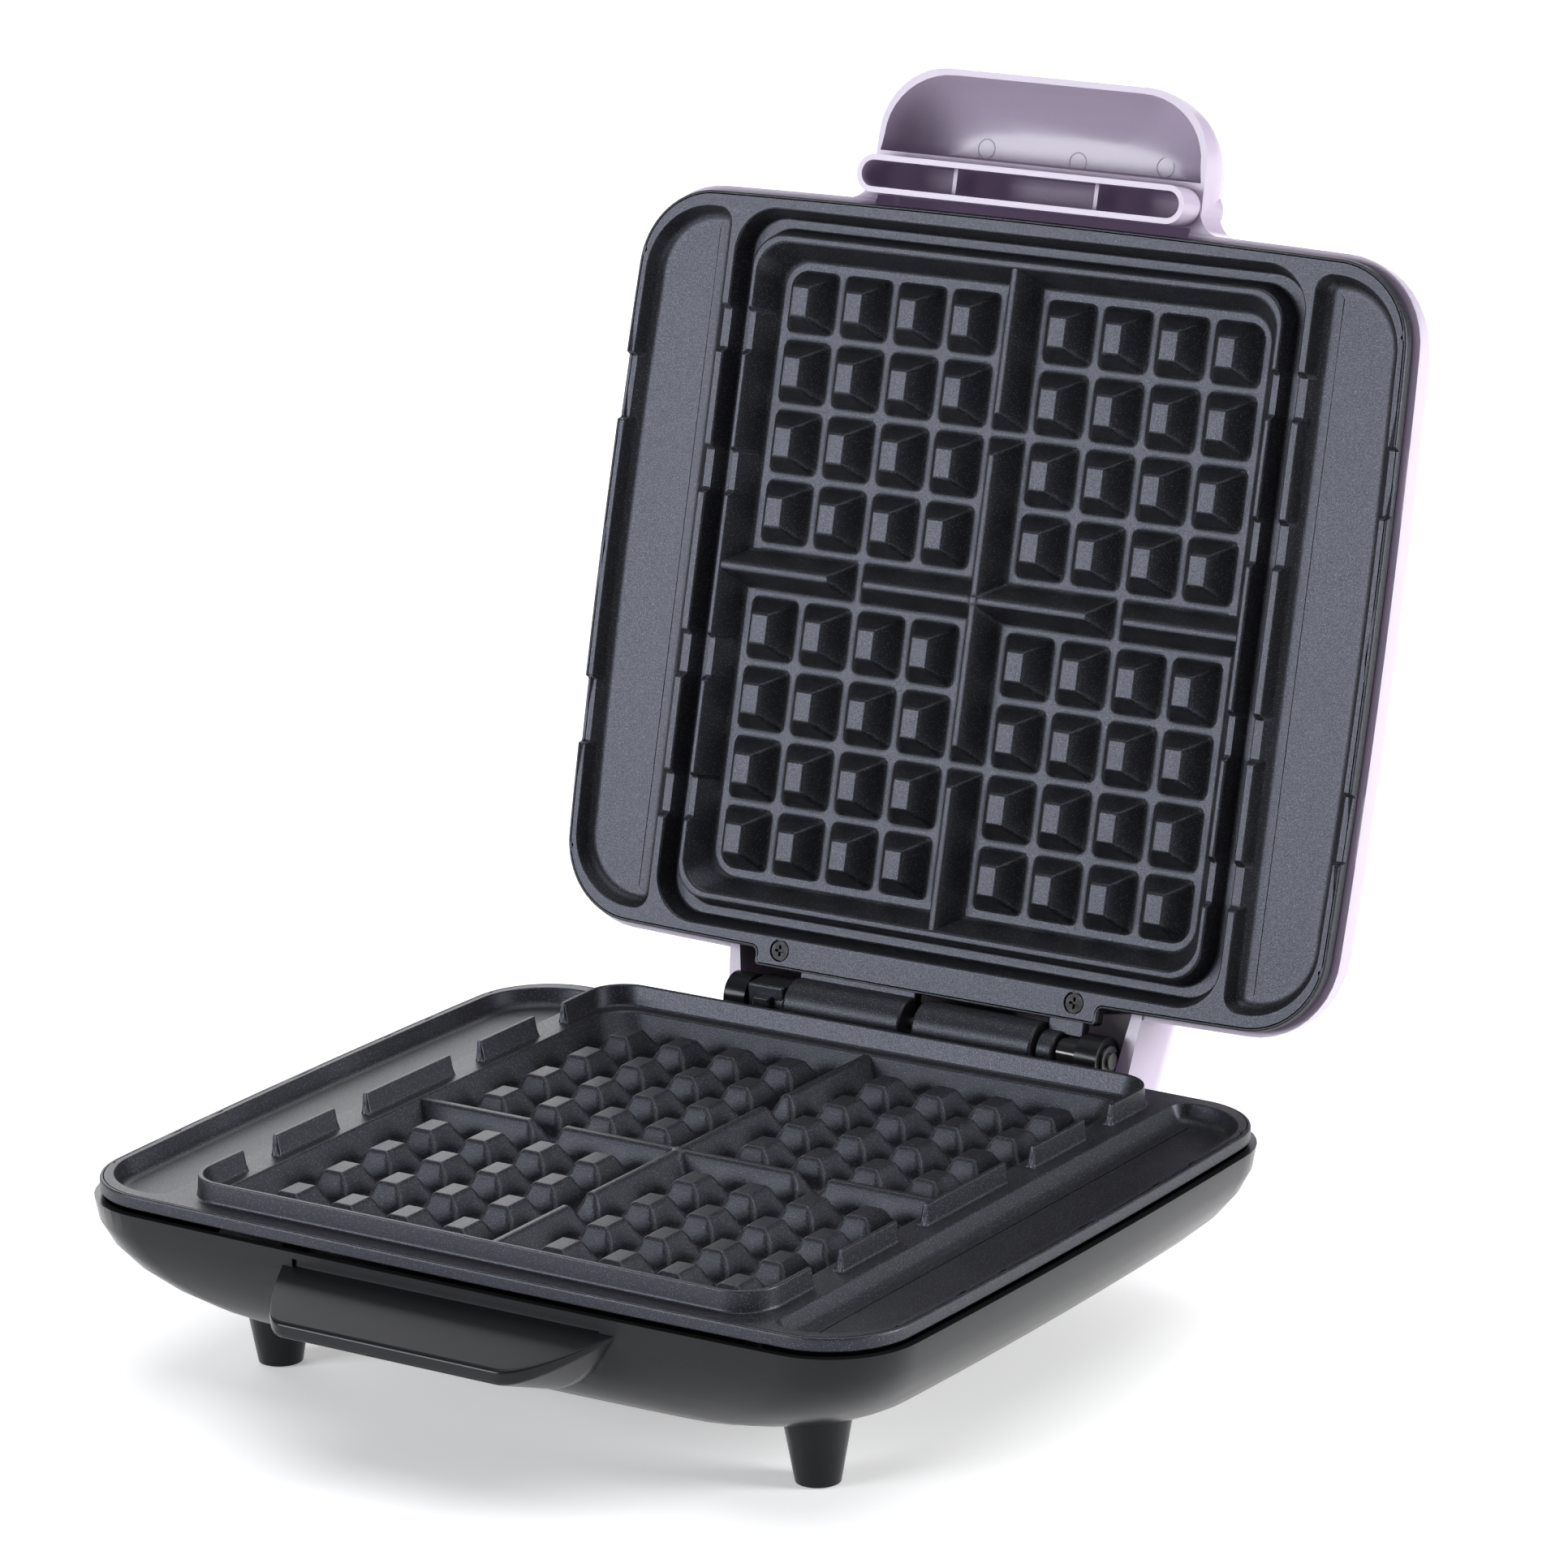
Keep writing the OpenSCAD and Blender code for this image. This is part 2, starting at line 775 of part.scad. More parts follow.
module grip_outer() {
    insets = [0, 0.6, 1.6, 3.2, 6, 10.5, 17];
    depths = [0, 7, 12.5, 17.5, 21.5, 24, 25];
    loft([for (k = insets) grip_ring(k, -100 + k / 4)], [for (d = depths) grip_rim_z + d]);
}

module grip_inner() {
    insets = [grip_wall, grip_wall, 3.4, 5.4, 8.8, 13, 18];
    depths = [-2, 0, 6, 10.5, 14.5, 16.8, 17.6];
    loft([for (k = insets) grip_ring(k, grip_inner_y - k / 12)], [for (d = depths) grip_rim_z + d]);
}

pill_y = -122.3;
pill_r = 5.7;
pill_half_w = 56.3;
pill_wall = 1.7;
pill_front_z = -3.8;
pill_depth = 24;
pill_rib_x = 24.3;
pill_rib_t = 1.3;

module obround(half_w, r) {
    square([2 * (half_w - r), 2 * r], center = true);
    both_sides()
        translate([half_w - r, 0])
            circle(r);
}

// Flat tube that stands out in front of the grip
module pill_outer() {
    translate([0, pill_y, pill_front_z])
        linear_extrude(pill_depth)
            obround(pill_half_w, pill_r);
}

module pill_inner() {
    translate([0, pill_y, pill_front_z - 1])
        linear_extrude(pill_depth - 1)
            obround(pill_half_w - pill_wall, pill_r - pill_wall);
}

module pill_ribs() {
    both_sides()
        translate([pill_rib_x, pill_y, pill_front_z + pill_depth / 2 + 2])
            cube([pill_rib_t, 2 * pill_r - pill_wall, pill_depth - 4], center = true);
}

// Shallow pocket in the front wall between the plate edge and the flat tube
module front_pocket() {
    for (half_w_depth = [[54, 13], [50, 25]])
        translate([0, -plate_half_d - 0.9, -1])
            linear_extrude(half_w_depth[1])
                square([2 * half_w_depth[0], 4], center = true);
}

// Small webs with a hollow curve where the flat tube meets the rim
module pill_flares() {
    both_sides()
        translate([pill_half_w - 3, pill_y, lid_rim_z + 0.6])
            linear_extrude(12)
                difference() {
                    translate([-3, 0])
                        square([14.5, -pill_y - plate_half_d]);
                    translate([11.5, -0.6])
                        circle(8.4);
                }
}

// Hinge housing: open box that covers the hinge from behind and above
housing_half_w = 74.6;
housing_end_w = 69.6;
housing_end_y = hinge_back + 16.8;
housing_start_y = plate_half_d - 20;
function housing_ring(inset) =
    let (r = 9, n = 6, cx = housing_end_w - r, cy = housing_end_y - r, q = r - min(inset, 6))
    concat(
        [[housing_half_w - inset, housing_start_y]],
        [for (i = [0 : n]) let (a = 90 * i / n)
            [cx - inset + q + q * (cos(a) - 1), cy + r - inset - q + q * sin(a)]],
        [for (i = [n : -1 : 0]) let (a = 90 * i / n)
            [-(cx - inset + q + q * (cos(a) - 1)), cy + r - inset - q + q * sin(a)]],
        [[-(housing_half_w - inset), housing_start_y]]
    );

module housing_outer() {
    insets = [0, 0.5, 1.6, 4, 8, 14];
    levels = [housing_rim_z, 24, 31, 36.5, 40, 42];
    loft([for (k = insets) housing_ring(k)], levels);
}

module housing_inner() {
    insets = [shell_wall, shell_wall, shell_wall + 0.5, 4, 6.4, 9.4, 12.4];
    levels = [housing_rim_z - 3, housing_rim_z, 24, 30, 34.2, 37.4, 39.4];
    loft([for (k = insets) housing_ring(k)], levels);
}

// The screw bosses hang from the roof of the housing
boss_top_z = 41;

module lid_bosses() {
    both_sides()
        translate([tab_screw_x, -tab_screw_y, plate_rim_h])
            cylinder(r = tab_post_r, h = boss_top_z - plate_rim_h);
}

lamp_x = 11;
lamp_y = -48;
lens_r = 4;
lead_x = 36;
lead_z = plate_back + element_r + 14;

module lid_shell() {
    color([0.79, 0.74, 0.84])
        on_lid()
            difference() {
                union() {
                    difference() {
                        union() {
                            translate([0, 0, lid_rim_z])
                                bowl(lid_half_w, lid_half_d, lid_side_run, lid_end_run, lid_bowl_h, 0);
                            grip_outer();
                            housing_outer();
                            pill_flares();
                        }
                        translate([0, 0, lid_rim_z])
                            bowl(lid_half_w, lid_half_d, lid_side_run, lid_end_run, lid_bowl_h, shell_wall);
                        housing_inner();
                        grip_inner();
                        front_pocket();
                    }
                    pill_outer();
                    lid_bosses();
                }
                difference() {
                    pill_inner();
                    pill_ribs();
                }
                for (s = [-1, 1]) {
                    translate([s * tab_screw_x, -tab_screw_y, 0])
                        cylinder(r = screw_r + running_gap, h = 20);
                    translate([s * lamp_x, lamp_y, lid_top_z - 6])
                        cylinder(r = lens_r + 0.1, h = 10);
                }
            }
}

// ---------------------------------------------------------------- inner parts
// These are drawn in the frame of a plate, so "below" means behind the cooking face.

module bend(x, y, turn, r) {
    translate([x, y])
        rotate([0, 0, turn])
            rotate_extrude(angle = 90)
                translate([r, 0])
                    circle(element_r);
}

module rod(x, y, turn, length) {
    translate([x, y])
        rotate([90, 0, turn])
            cylinder(r = element_r, h = length);
}

terminal_bend = 8;
element_end_y = -84;
element_z = -plate_back - element_r - 0.05;

// Tubular heating element: one loop with both ends at the hinge side
module element() {
    side_l = 2 * (element_half_y - element_bend);
    front_l = 2 * (element_half_x - element_bend);
    rear_l = element_half_x - element_bend - terminal_x - terminal_bend;
    translate([0, 0, element_z]) {
        rod(-element_half_x + element_bend, element_half_y, 90, front_l);
        both_sides() {
            rod(element_half_x, element_half_y - element_bend, 0, side_l);
            bend(element_half_x - element_bend, element_half_y - element_bend, 0, element_bend);
            bend(element_half_x - element_bend, element_bend - element_half_y, -90, element_bend);
            rod(terminal_x + terminal_bend, -element_half_y, 90, rear_l);
            bend(terminal_x + terminal_bend, -element_half_y - terminal_bend, 90, terminal_bend);
            rod(terminal_x, -element_half_y - terminal_bend, 0,
                -element_end_y - element_half_y - terminal_bend);
            translate([terminal_x, element_end_y])
                rotate([90, 0, 0])
                    cylinder(r = 1.2, h = 12);
        }
    }
}

module insulators() {
    translate([0, 0, element_z])
        both_sides()
            translate([terminal_x, element_end_y - 0.1])
                rotate([90, 0, 0])
                    difference() {
                        cylinder(r = element_r, h = 6);
                        translate([0, 0, -1])
                            cylinder(r = 1.25, h = 8);
                    }
}

clamp_y = 24;

module clamps() {
    for (sx = [-1, 1])
        for (sy = [-1, 1])
            translate([sx * element_half_x, sy * clamp_y, -plate_back - element_r - 0.6])
                difference() {
                    cube([2 * element_r + 3, 9, 2 * element_r + 1.2], center = true);
                    translate([0, 0, 1.1])
                        cube([2 * element_r + 0.6, 10, 2 * element_r + 1.4], center = true);
                }
}

shield_half_x = 108;
shield_half_y = 90;

// Bright sheet behind the element, held by four spacer studs
module shield(hole_r) {
    translate([0, 0, -shield_z - shield_t])
        linear_extrude(shield_t)
            difference() {
                rounded_rect(shield_half_x, shield_half_y, 24);
                if (hole_r > 0)
                    circle(hole_r);
            }
    for (sx = [-1, 1])
        for (sy = [-1, 1])
            translate([sx * 76, sy * 78, -shield_z])
                cylinder(r = 2.5, h = shield_z - plate_back);
}

metal = [0.75, 0.76, 0.78];
dark_metal = [0.42, 0.41, 0.4];
ceramic = [0.93, 0.92, 0.88];

module lower_element() { color(dark_metal) as_lower() element(); }
module upper_element() { color(dark_metal) as_upper() element(); }
module lower_element_insulators() { color(ceramic) as_lower() insulators(); }
module upper_element_insulators() { color(ceramic) as_upper() insulators(); }
module lower_element_clamps() { color(metal) as_lower() clamps(); }
module upper_element_clamps() { color(metal) as_upper() clamps(); }
module lower_heat_shield() { color(metal) as_lower() shield(0); }
module upper_heat_shield() { color(metal) as_upper() shield(17); }
module lower_plate_screws() { color(metal) as_lower() plate_screws(); }
module upper_plate_screws() { color(metal) as_upper() plate_screws(); }

thermostat_r = 12;
bracket_t = 1.2;

module thermostat_bracket() {
    color(metal)
        as_upper()
            translate([0, 0, -plate_back - bracket_t / 2])
                cube([44, 18, bracket_t], center = true);
}

module thermostat() {
    color(ceramic)
        as_upper()
            translate([0, 0, -plate_back - bracket_t]) {
                translate([0, 0, -9])
                    cylinder(r = thermostat_r, h = 9);
                for (s = [-1, 1])
                    translate([s * 6, 0, -11])
                        cube([1, 6, 5], center = true);
            }
}

fuse_r = 2.6;

module thermal_fuse() {
    color(ceramic)
        as_lower()
            translate([-12, 20, -plate_back - fuse_r - 0.1])
                rotate([0, 90, 0]) {
                    cylinder(r = fuse_r, h = 24);
                    translate([0, 0, -8])
                        cylinder(r = 0.7, h = 40);
                }
}

block_x = -44;
block_y = 52;
block_z = base_bottom_z + floor_t;

module terminal_block() {
    color(ceramic)
        on_base()
            translate([block_x, block_y, block_z])
                difference() {
                    translate([-16, -8, 0])
                        cube([32, 16, 11]);
                    for (k = [-1, 0, 1])
                        translate([k * 9.5, 0, 6])
                            rotate([90, 0, 0])
                                cylinder(r = 1.6, h = 20, center = true);
                    for (k = [-1, 0, 1])
                        translate([k * 9.5, 0, 8])
                            cylinder(r = 1.8, h = 4);
                }
}

// Earth terminal on the back of the lower plate
module earth_tag() {
    color(metal)
        as_lower()
            translate([40, -102, -groove_depth - plate_wall]) {
                translate([0, 0, -0.8])
                    cylinder(r = 4, h = 0.8);
                translate([0, 0, -3])
                    cylinder(r = 2.6, h = 2.2);
                translate([-2, -9, -0.8])
                    cube([4, 7, 0.8]);
            }
}

wire_r = 1.1;
wire_sides = 12;

module base_wires() {
    in_y = gland_y - 7;
    row_z = block_z + 6;
    pin_y = -element_end_y + 13.2;
    pin_z = parting_z + element_z;
    color([0.55, 0.2, 0.12])
        on_base() {
            for (k = [-1, 0, 1])
                wire([
                    [gland_x + k * 3, in_y, gland_z], [gland_x + 6 + k * 3.4, in_y - 10, gland_z - 6],
                    [block_x + k * 9.5, block_y + 20, row_z + 2], [block_x + k * 9.5, block_y + 8.2, row_z]
                ], wire_r);
            for (s = [-1, 1])
                wire([
                    [block_x + (s + 1) * 4.75, block_y - 8.2, row_z],
                    [block_x + 22 + s * 3, block_y - 16, row_z],
                    [s * terminal_x, 84, row_z - 1], [s * terminal_x, 103.4, row_z + 8],
                    [s * terminal_x, 103.4, pin_z], [s * terminal_x, pin_y, pin_z]
                ], wire_r);
        }
}

module lamp_holder() {
    color([0.85, 0.84, 0.8])
        on_lid()
            translate([0, lamp_y, lid_top_z - 22])
                difference() {
                    union() {
                        translate([-20, -7, 0])
                            cube([40, 14, 3]);
                        for (s = [-1, 1])
                            translate([s * lamp_x, 0, 0])
                                cylinder(r = 4.6, h = 9);
                    }
                    for (s = [-1, 1])
                        translate([s * lamp_x, 0, -1])
                            cylinder(r = 2.7, h = 12);
                }
}

module neon_lamps() {
    color([0.95, 0.55, 0.3])
        on_lid()
            for (s = [-1, 1])
                translate([s * lamp_x, lamp_y, lid_top_z - 24]) {
                    cylinder(r = 2.6, h = 13);
                    translate([0, 0, 13])
                        sphere(2.6);
                }
}

module lamp_lenses() {
    color([0.9, 0.25, 0.15])
        on_lid()
            for (s = [-1, 1])
                translate([s * lamp_x, lamp_y, lid_top_z - 5]) {
                    cylinder(r = lens_r, h = 5.6);
                    translate([0, 0, -0.6])
                        cylinder(r = lens_r + 1, h = 2.5);
                }
}

module lid_wires() {
    pin_y = -element_end_y + 13.2;
    pin_z = -element_z;
    high = lead_z;
    color([0.55, 0.2, 0.12])
        on_lid()
            for (s = [-1, 1]) {
                wire([
                    [s * lead_x, hinge_back - 2, high], [s * lead_x, 101, high],
                    [s * terminal_x, 103.4, high],
                    [s * terminal_x, 103.4, pin_z], [s * terminal_x, pin_y, pin_z]
                ], wire_r);
                wire([
                    [s * 30, 101, high + 3], [s * 30, 40, high],
                    [s * lamp_x, lamp_y + 12, high - 1], [s * lamp_x, lamp_y, lid_top_z - 26]
                ], wire_r * 0.8);
            }
}

base_shell();
foot_pads();
lower_plate();
lower_element();
lower_element_insulators();
lower_element_clamps();
lower_heat_shield();
lower_plate_screws();
thermal_fuse();
terminal_block();
earth_tag();
base_wires();
cord_gland();
hinge_pin();
hinge_clips();
hinge_sleeve();
lid_shell();
upper_plate();
upper_element();
upper_element_insulators();
upper_element_clamps();
upper_heat_shield();
upper_plate_screws();
thermostat();
thermostat_bracket();
lamp_holder();
neon_lamps();
lamp_lenses();
lid_wires();
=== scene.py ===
"""Looks of the open waffle maker: meshes, materials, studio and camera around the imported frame.

Everything handed to Blender is in metres. The sections on the plates, the ledge and the grip draw in
millimetres and scale by MM.
"""
import json
import math

import bpy
import numpy as np
from mathutils import Matrix, Vector
from mathutils.geometry import delaunay_2d_cdt


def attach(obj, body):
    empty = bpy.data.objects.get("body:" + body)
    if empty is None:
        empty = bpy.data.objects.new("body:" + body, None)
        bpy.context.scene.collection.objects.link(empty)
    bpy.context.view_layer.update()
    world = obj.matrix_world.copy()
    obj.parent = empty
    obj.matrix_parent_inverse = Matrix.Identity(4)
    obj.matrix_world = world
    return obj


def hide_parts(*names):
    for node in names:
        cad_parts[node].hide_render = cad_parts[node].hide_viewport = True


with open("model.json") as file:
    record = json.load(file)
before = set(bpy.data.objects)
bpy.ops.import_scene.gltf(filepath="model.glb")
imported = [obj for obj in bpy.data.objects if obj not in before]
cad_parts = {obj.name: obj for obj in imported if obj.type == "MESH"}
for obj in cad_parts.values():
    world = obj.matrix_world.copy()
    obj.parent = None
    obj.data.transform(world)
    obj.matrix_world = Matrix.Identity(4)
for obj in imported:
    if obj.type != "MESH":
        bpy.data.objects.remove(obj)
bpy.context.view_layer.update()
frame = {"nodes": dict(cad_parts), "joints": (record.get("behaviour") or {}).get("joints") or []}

bpy.context.scene.view_settings.view_transform = "Standard"
MM = 0.001
NODES = frame["nodes"]
HINGE = frame["joints"][0]
HINGE_AT = Vector(HINGE["pos_m"])
OPEN_ANGLE = math.radians(HINGE["range_deg"][1])


# ------------------------------------------------------------------ camera and studio

CAMERA_AT = (1.0599, -1.6029, 0.7007)
CAMERA_HEADING = 33.273
CAMERA_PITCH = -15.860
CAMERA_ROLL = -0.904
CAMERA_LENS = 161.36


def add_camera():
    data = bpy.data.cameras.new("camera")
    data.lens = CAMERA_LENS
    data.sensor_width = 36.0
    data.clip_start = 0.01
    data.clip_end = 60.0
    camera = bpy.data.objects.new("camera", data)
    bpy.context.scene.collection.objects.link(camera)
    turn = (
        Matrix.Rotation(math.radians(CAMERA_HEADING), 4, "Z")
        @ Matrix.Rotation(math.radians(90 + CAMERA_PITCH), 4, "X")
        @ Matrix.Rotation(math.radians(CAMERA_ROLL), 4, "Z")
    )
    camera.matrix_world = Matrix.Translation(CAMERA_AT) @ turn
    bpy.context.scene.camera = camera


def add_softbox(name, at, aim, width, height, power, tint=(1, 1, 1)):
    """A rectangular area light at a point, facing another point."""
    data = bpy.data.lights.new(name, "AREA")
    data.shape = "RECTANGLE"
    data.size = width
    data.size_y = height
    data.energy = power
    data.color = tint
    light = bpy.data.objects.new(name, data)
    bpy.context.scene.collection.objects.link(light)
    light.location = at
    light.rotation_euler = (Vector(aim) - Vector(at)).to_track_quat("-Z", "Y").to_euler()
    return light


def add_world(colour, strength):
    world = bpy.data.worlds.new("studio")
    world.use_nodes = True
    background = world.node_tree.nodes["Background"]
    background.inputs["Color"].default_value = (*colour, 1)
    background.inputs["Strength"].default_value = strength
    bpy.context.scene.world = world


# ------------------------------------------------------------------ materials

def new_material(name):
    material = bpy.data.materials.new(name)
    material.use_nodes = True
    return material, material.node_tree, material.node_tree.nodes["Principled BSDF"]


def add_node(tree, kind, **values):
    """A shader node with its sockets or properties set by name."""
    node = tree.nodes.new(kind)
    for key, value in values.items():
        if key in node.inputs:
            node.inputs[key].default_value = value
        else:
            setattr(node, key, value)
    return node


def object_space(tree):
    return add_node(tree, "ShaderNodeTexCoord").outputs["Object"]


def noise(tree, scale, detail=2.0, roughness=0.5):
    node = add_node(tree, "ShaderNodeTexNoise", Scale=scale, Detail=detail, Roughness=roughness)
    tree.links.new(object_space(tree), node.inputs["Vector"])
    return node.outputs["Fac"]


def remap(tree, value, low, high, to_low, to_high):
    node = add_node(tree, "ShaderNodeMapRange")
    tree.links.new(value, node.inputs["Value"])
    for key, number in (("From Min", low), ("From Max", high), ("To Min", to_low), ("To Max", to_high)):
        node.inputs[key].default_value = number
    return node.outputs["Result"]


def mix_colours(tree, factor, first, second):
    node = add_node(tree, "ShaderNodeMix", data_type="RGBA")
    tree.links.new(factor, node.inputs["Factor"])
    node.inputs[6].default_value = (*first, 1)
    node.inputs[7].default_value = (*second, 1)
    return node.outputs[2]


def add_bump(tree, height, shader, strength, distance):
    bump = add_node(tree, "ShaderNodeBump", Strength=strength, Distance=distance)
    tree.links.new(height, bump.inputs["Height"])
    tree.links.new(bump.outputs["Normal"], shader.inputs["Normal"])
    return bump


def set_tint(material, tint):
    """Colours and weakens the mirror part of a material."""
    material.node_tree.nodes["Principled BSDF"].inputs["Specular Tint"].default_value = (*tint, 1)


def moulded_plastic(name, colour, darker, rough, grain_mm, grain, ior=1.47):
    """Injection-moulded plastic: faint colour drift, a fine grain and a slightly uneven gloss."""
    material, tree, shader = new_material(name)
    drift = noise(tree, 14.0, 3.0)
    tree.links.new(mix_colours(tree, remap(tree, drift, 0.35, 0.65, 0, 1), colour, darker),
                   shader.inputs["Base Color"])
    tree.links.new(remap(tree, noise(tree, 60.0, 2.0), 0.3, 0.7, rough * 0.98, rough * 1.02),
                   shader.inputs["Roughness"])
    add_bump(tree, noise(tree, 1 / (grain_mm * MM), 2.0), shader, grain, 0.00005)
    shader.inputs["IOR"].default_value = ior
    return material


DULL_ROUGHNESS = 0.95


def paint_hollow_shade(material, painted_shade, reach, closed, free, painted_glow=None):
    """Paints shade into the colour of a plastic in its hollows: a darker colour where few directions are
    open.

    A point counts as closed or free by the share of open directions within a reach in metres. With a painted
    glow, its closed parts also turn dull and send out a faint painted light (emission) that stands in for
    light filling a pocket.
    """
    tree = material.node_tree
    shader = tree.nodes["Principled BSDF"]
    surface = shader.inputs["Base Color"].links[0].from_socket
    # Painted shade: an ambient occlusion mask mixes the base colour towards the painted shade colour in
    # hollows.
    openness = add_node(tree, "ShaderNodeAmbientOcclusion", Distance=reach)
    openness.samples = 8
    factor = remap(tree, openness.outputs["AO"], closed, free, 0, 1)
    mix = add_node(tree, "ShaderNodeMix", data_type="RGBA")
    mix.inputs[6].default_value = (*painted_shade, 1)
    tree.links.new(factor, mix.inputs["Factor"])
    tree.links.new(surface, mix.inputs[7])
    tree.links.new(mix.outputs[2], shader.inputs["Base Color"])
    if painted_glow:
        # Painted glow: emission in the closed parts stands in for light that fills a pocket.
        tree.links.new(mix_colours(tree, factor, painted_glow, (0, 0, 0)), shader.inputs["Emission Color"])
        shader.inputs["Emission Strength"].default_value = 1.0
        gloss = shader.inputs["Roughness"].links[0].from_socket
        dull = add_node(tree, "ShaderNodeMix", data_type="FLOAT")
        dull.inputs[2].default_value = DULL_ROUGHNESS
        tree.links.new(factor, dull.inputs["Factor"])
        tree.links.new(gloss, dull.inputs[3])
        tree.links.new(dull.outputs[0], shader.inputs["Roughness"])


def non_stick(name):
    """Dark coated casting: orange-peel surface with fine bright flecks."""
    material, tree, shader = new_material(name)
    flecks = add_node(tree, "ShaderNodeTexVoronoi", Scale=1700.0)
    tree.links.new(object_space(tree), flecks.inputs["Vector"])
    bright = remap(tree, flecks.outputs["Distance"], 0.12, 0.30, 1.0, 0.0)
    tree.links.new(mix_colours(tree, bright, (0.007, 0.007, 0.009), (0.085, 0.085, 0.105)),
                   shader.inputs["Base Color"])
    tree.links.new(remap(tree, noise(tree, 2600.0, 2.0), 0.3, 0.7, 0.36, 0.50), shader.inputs["Roughness"])
    shader.inputs["IOR"].default_value = 1.52
    set_tint(material, (0.76, 0.79, 0.94))
    add_bump(tree, noise(tree, 2400.0, 2.0), shader, 0.5, 0.00008)
    return material


def worn_metal(name, colour, rough, brush_scale):
    """Bare metal with fine streaks and uneven roughness."""
    material, tree, shader = new_material(name)
    streaks = noise(tree, brush_scale, 6.0, 0.7)
    darker = tuple(0.7 * c for c in colour)
    tree.links.new(mix_colours(tree, streaks, colour, darker), shader.inputs["Base Color"])
    tree.links.new(remap(tree, streaks, 0.3, 0.7, rough * 0.8, rough * 1.2), shader.inputs["Roughness"])
    shader.inputs["Metallic"].default_value = 1.0
    add_bump(tree, streaks, shader, 0.2, 0.00005)
    return material


def matt(name, colour, rough, scale=400.0):
    """Plain matt stuff such as rubber, nylon or fired clay, with a fine grain."""
    material, tree, shader = new_material(name)
    grain = noise(tree, scale, 4.0)
    darker = tuple(0.85 * c for c in colour)
    tree.links.new(mix_colours(tree, grain, colour, darker), shader.inputs["Base Color"])
    shader.inputs["Roughness"].default_value = rough
    add_bump(tree, grain, shader, 0.3, 0.0001)
    return material


def paper(name):
    """White backdrop paper that stays white under its own soft light."""
    material, tree, shader = new_material(name)
    fibres = noise(tree, 40.0, 2.0)
    white = mix_colours(tree, fibres, (0.90, 0.90, 0.90), (0.89, 0.89, 0.89))
    tree.links.new(white, shader.inputs["Base Color"])
    shader.inputs["Roughness"].default_value = 0.9
    shader.inputs["Emission Color"].default_value = (1, 1, 1, 1)
    shader.inputs["Emission Strength"].default_value = 0.33
    return material


def dress(node, material, split_angle=28.0):
    """Gives a carried-over node its material and smooth shading between its sharp edges."""
    piece = NODES[node]
    piece.data.materials.clear()
    piece.data.materials.append(material)
    piece.data.polygons.foreach_set("use_smooth", [True] * len(piece.data.polygons))
    weld = piece.modifiers.new("weld", "WELD")
    weld.merge_threshold = 0.00001
    split = piece.modifiers.new("split", "EDGE_SPLIT")
    split.split_angle = math.radians(split_angle)
    split.use_edge_sharp = False
    piece.modifiers.new("even", "WEIGHTED_NORMAL")


# ------------------------------------------------------------------ mesh tools

def smooth_min(a, b, k):
    blend = np.maximum(k - np.abs(a - b), 0) / k
    return np.minimum(a, b) - blend * blend * k / 4


def smooth_max(a, b, k):
    return -smooth_min(-a, -b, k)


def soften(corners, steps=4):
    """Open polyline with its corners rounded. Each corner is a point followed by its rounding length."""
    points = [np.array(c[:-1], float) for c in corners]
    path = [points[0]]
    for before, here, after, corner in zip(points, points[1:], points[2:], corners[1:-1]):
        start = here + (before - here) * min(corner[-1] / np.linalg.norm(before - here), 0.48)
        end = here + (after - here) * min(corner[-1] / np.linalg.norm(after - here), 0.48)
        for i in range(steps + 1):
            t = i / steps
            path.append((1 - t) ** 2 * start + 2 * t * (1 - t) * here + t * t * end)
    path.append(points[-1])
    return path


def arc(cx, cy, radius, start, end, steps):
    """Points of an arc, angles in degrees."""
    angles = [math.radians(start + (end - start) * i / steps) for i in range(steps + 1)]
    return [(cx + radius * math.cos(a), cy + radius * math.sin(a)) for a in angles]


def four_quarters(quarter):
    """A closed outline from its first quarter, which runs from the +X axis to the +Y axis."""
    left = [(-x, y) for x, y in reversed(quarter[:-1])]
    low_left = [(-x, -y) for x, y in quarter[1:]]
    low_right = [(x, -y) for x, y in reversed(quarter[1:-1])]
    return quarter + left + low_left + low_right


def rounded_quarter(half_x, half_y, radius, side_y, side_x, bow_x=0.0, bow_y=0.0, steps=12):
    """Quarter of a rounded rectangle with chosen points along its sides, and sides that bow outwards."""
    reach_y = half_y - radius - bow_y * ((half_x - radius) / half_x) ** 2
    reach_x = half_x - radius - bow_x * ((half_y - radius) / half_y) ** 2
    side = [(half_x - bow_x * (y / half_y) ** 2, y) for y in side_y]
    end = [(x, half_y - bow_y * (x / half_x) ** 2) for x in side_x]
    return side + arc(reach_x, reach_y, radius, 0, 90, steps) + end[::-1]


def inset(loop, distance):
    """An anticlockwise loop moved inwards by a small distance."""
    moved = []
    for before, here, after in zip([loop[-1]] + loop[:-1], loop, loop[1:] + [loop[0]]):
        dx, dy = after[0] - before[0], after[1] - before[1]
        length = math.hypot(dx, dy)
        moved.append((here[0] - dy / length * distance, here[1] + dx / length * distance))
    return moved


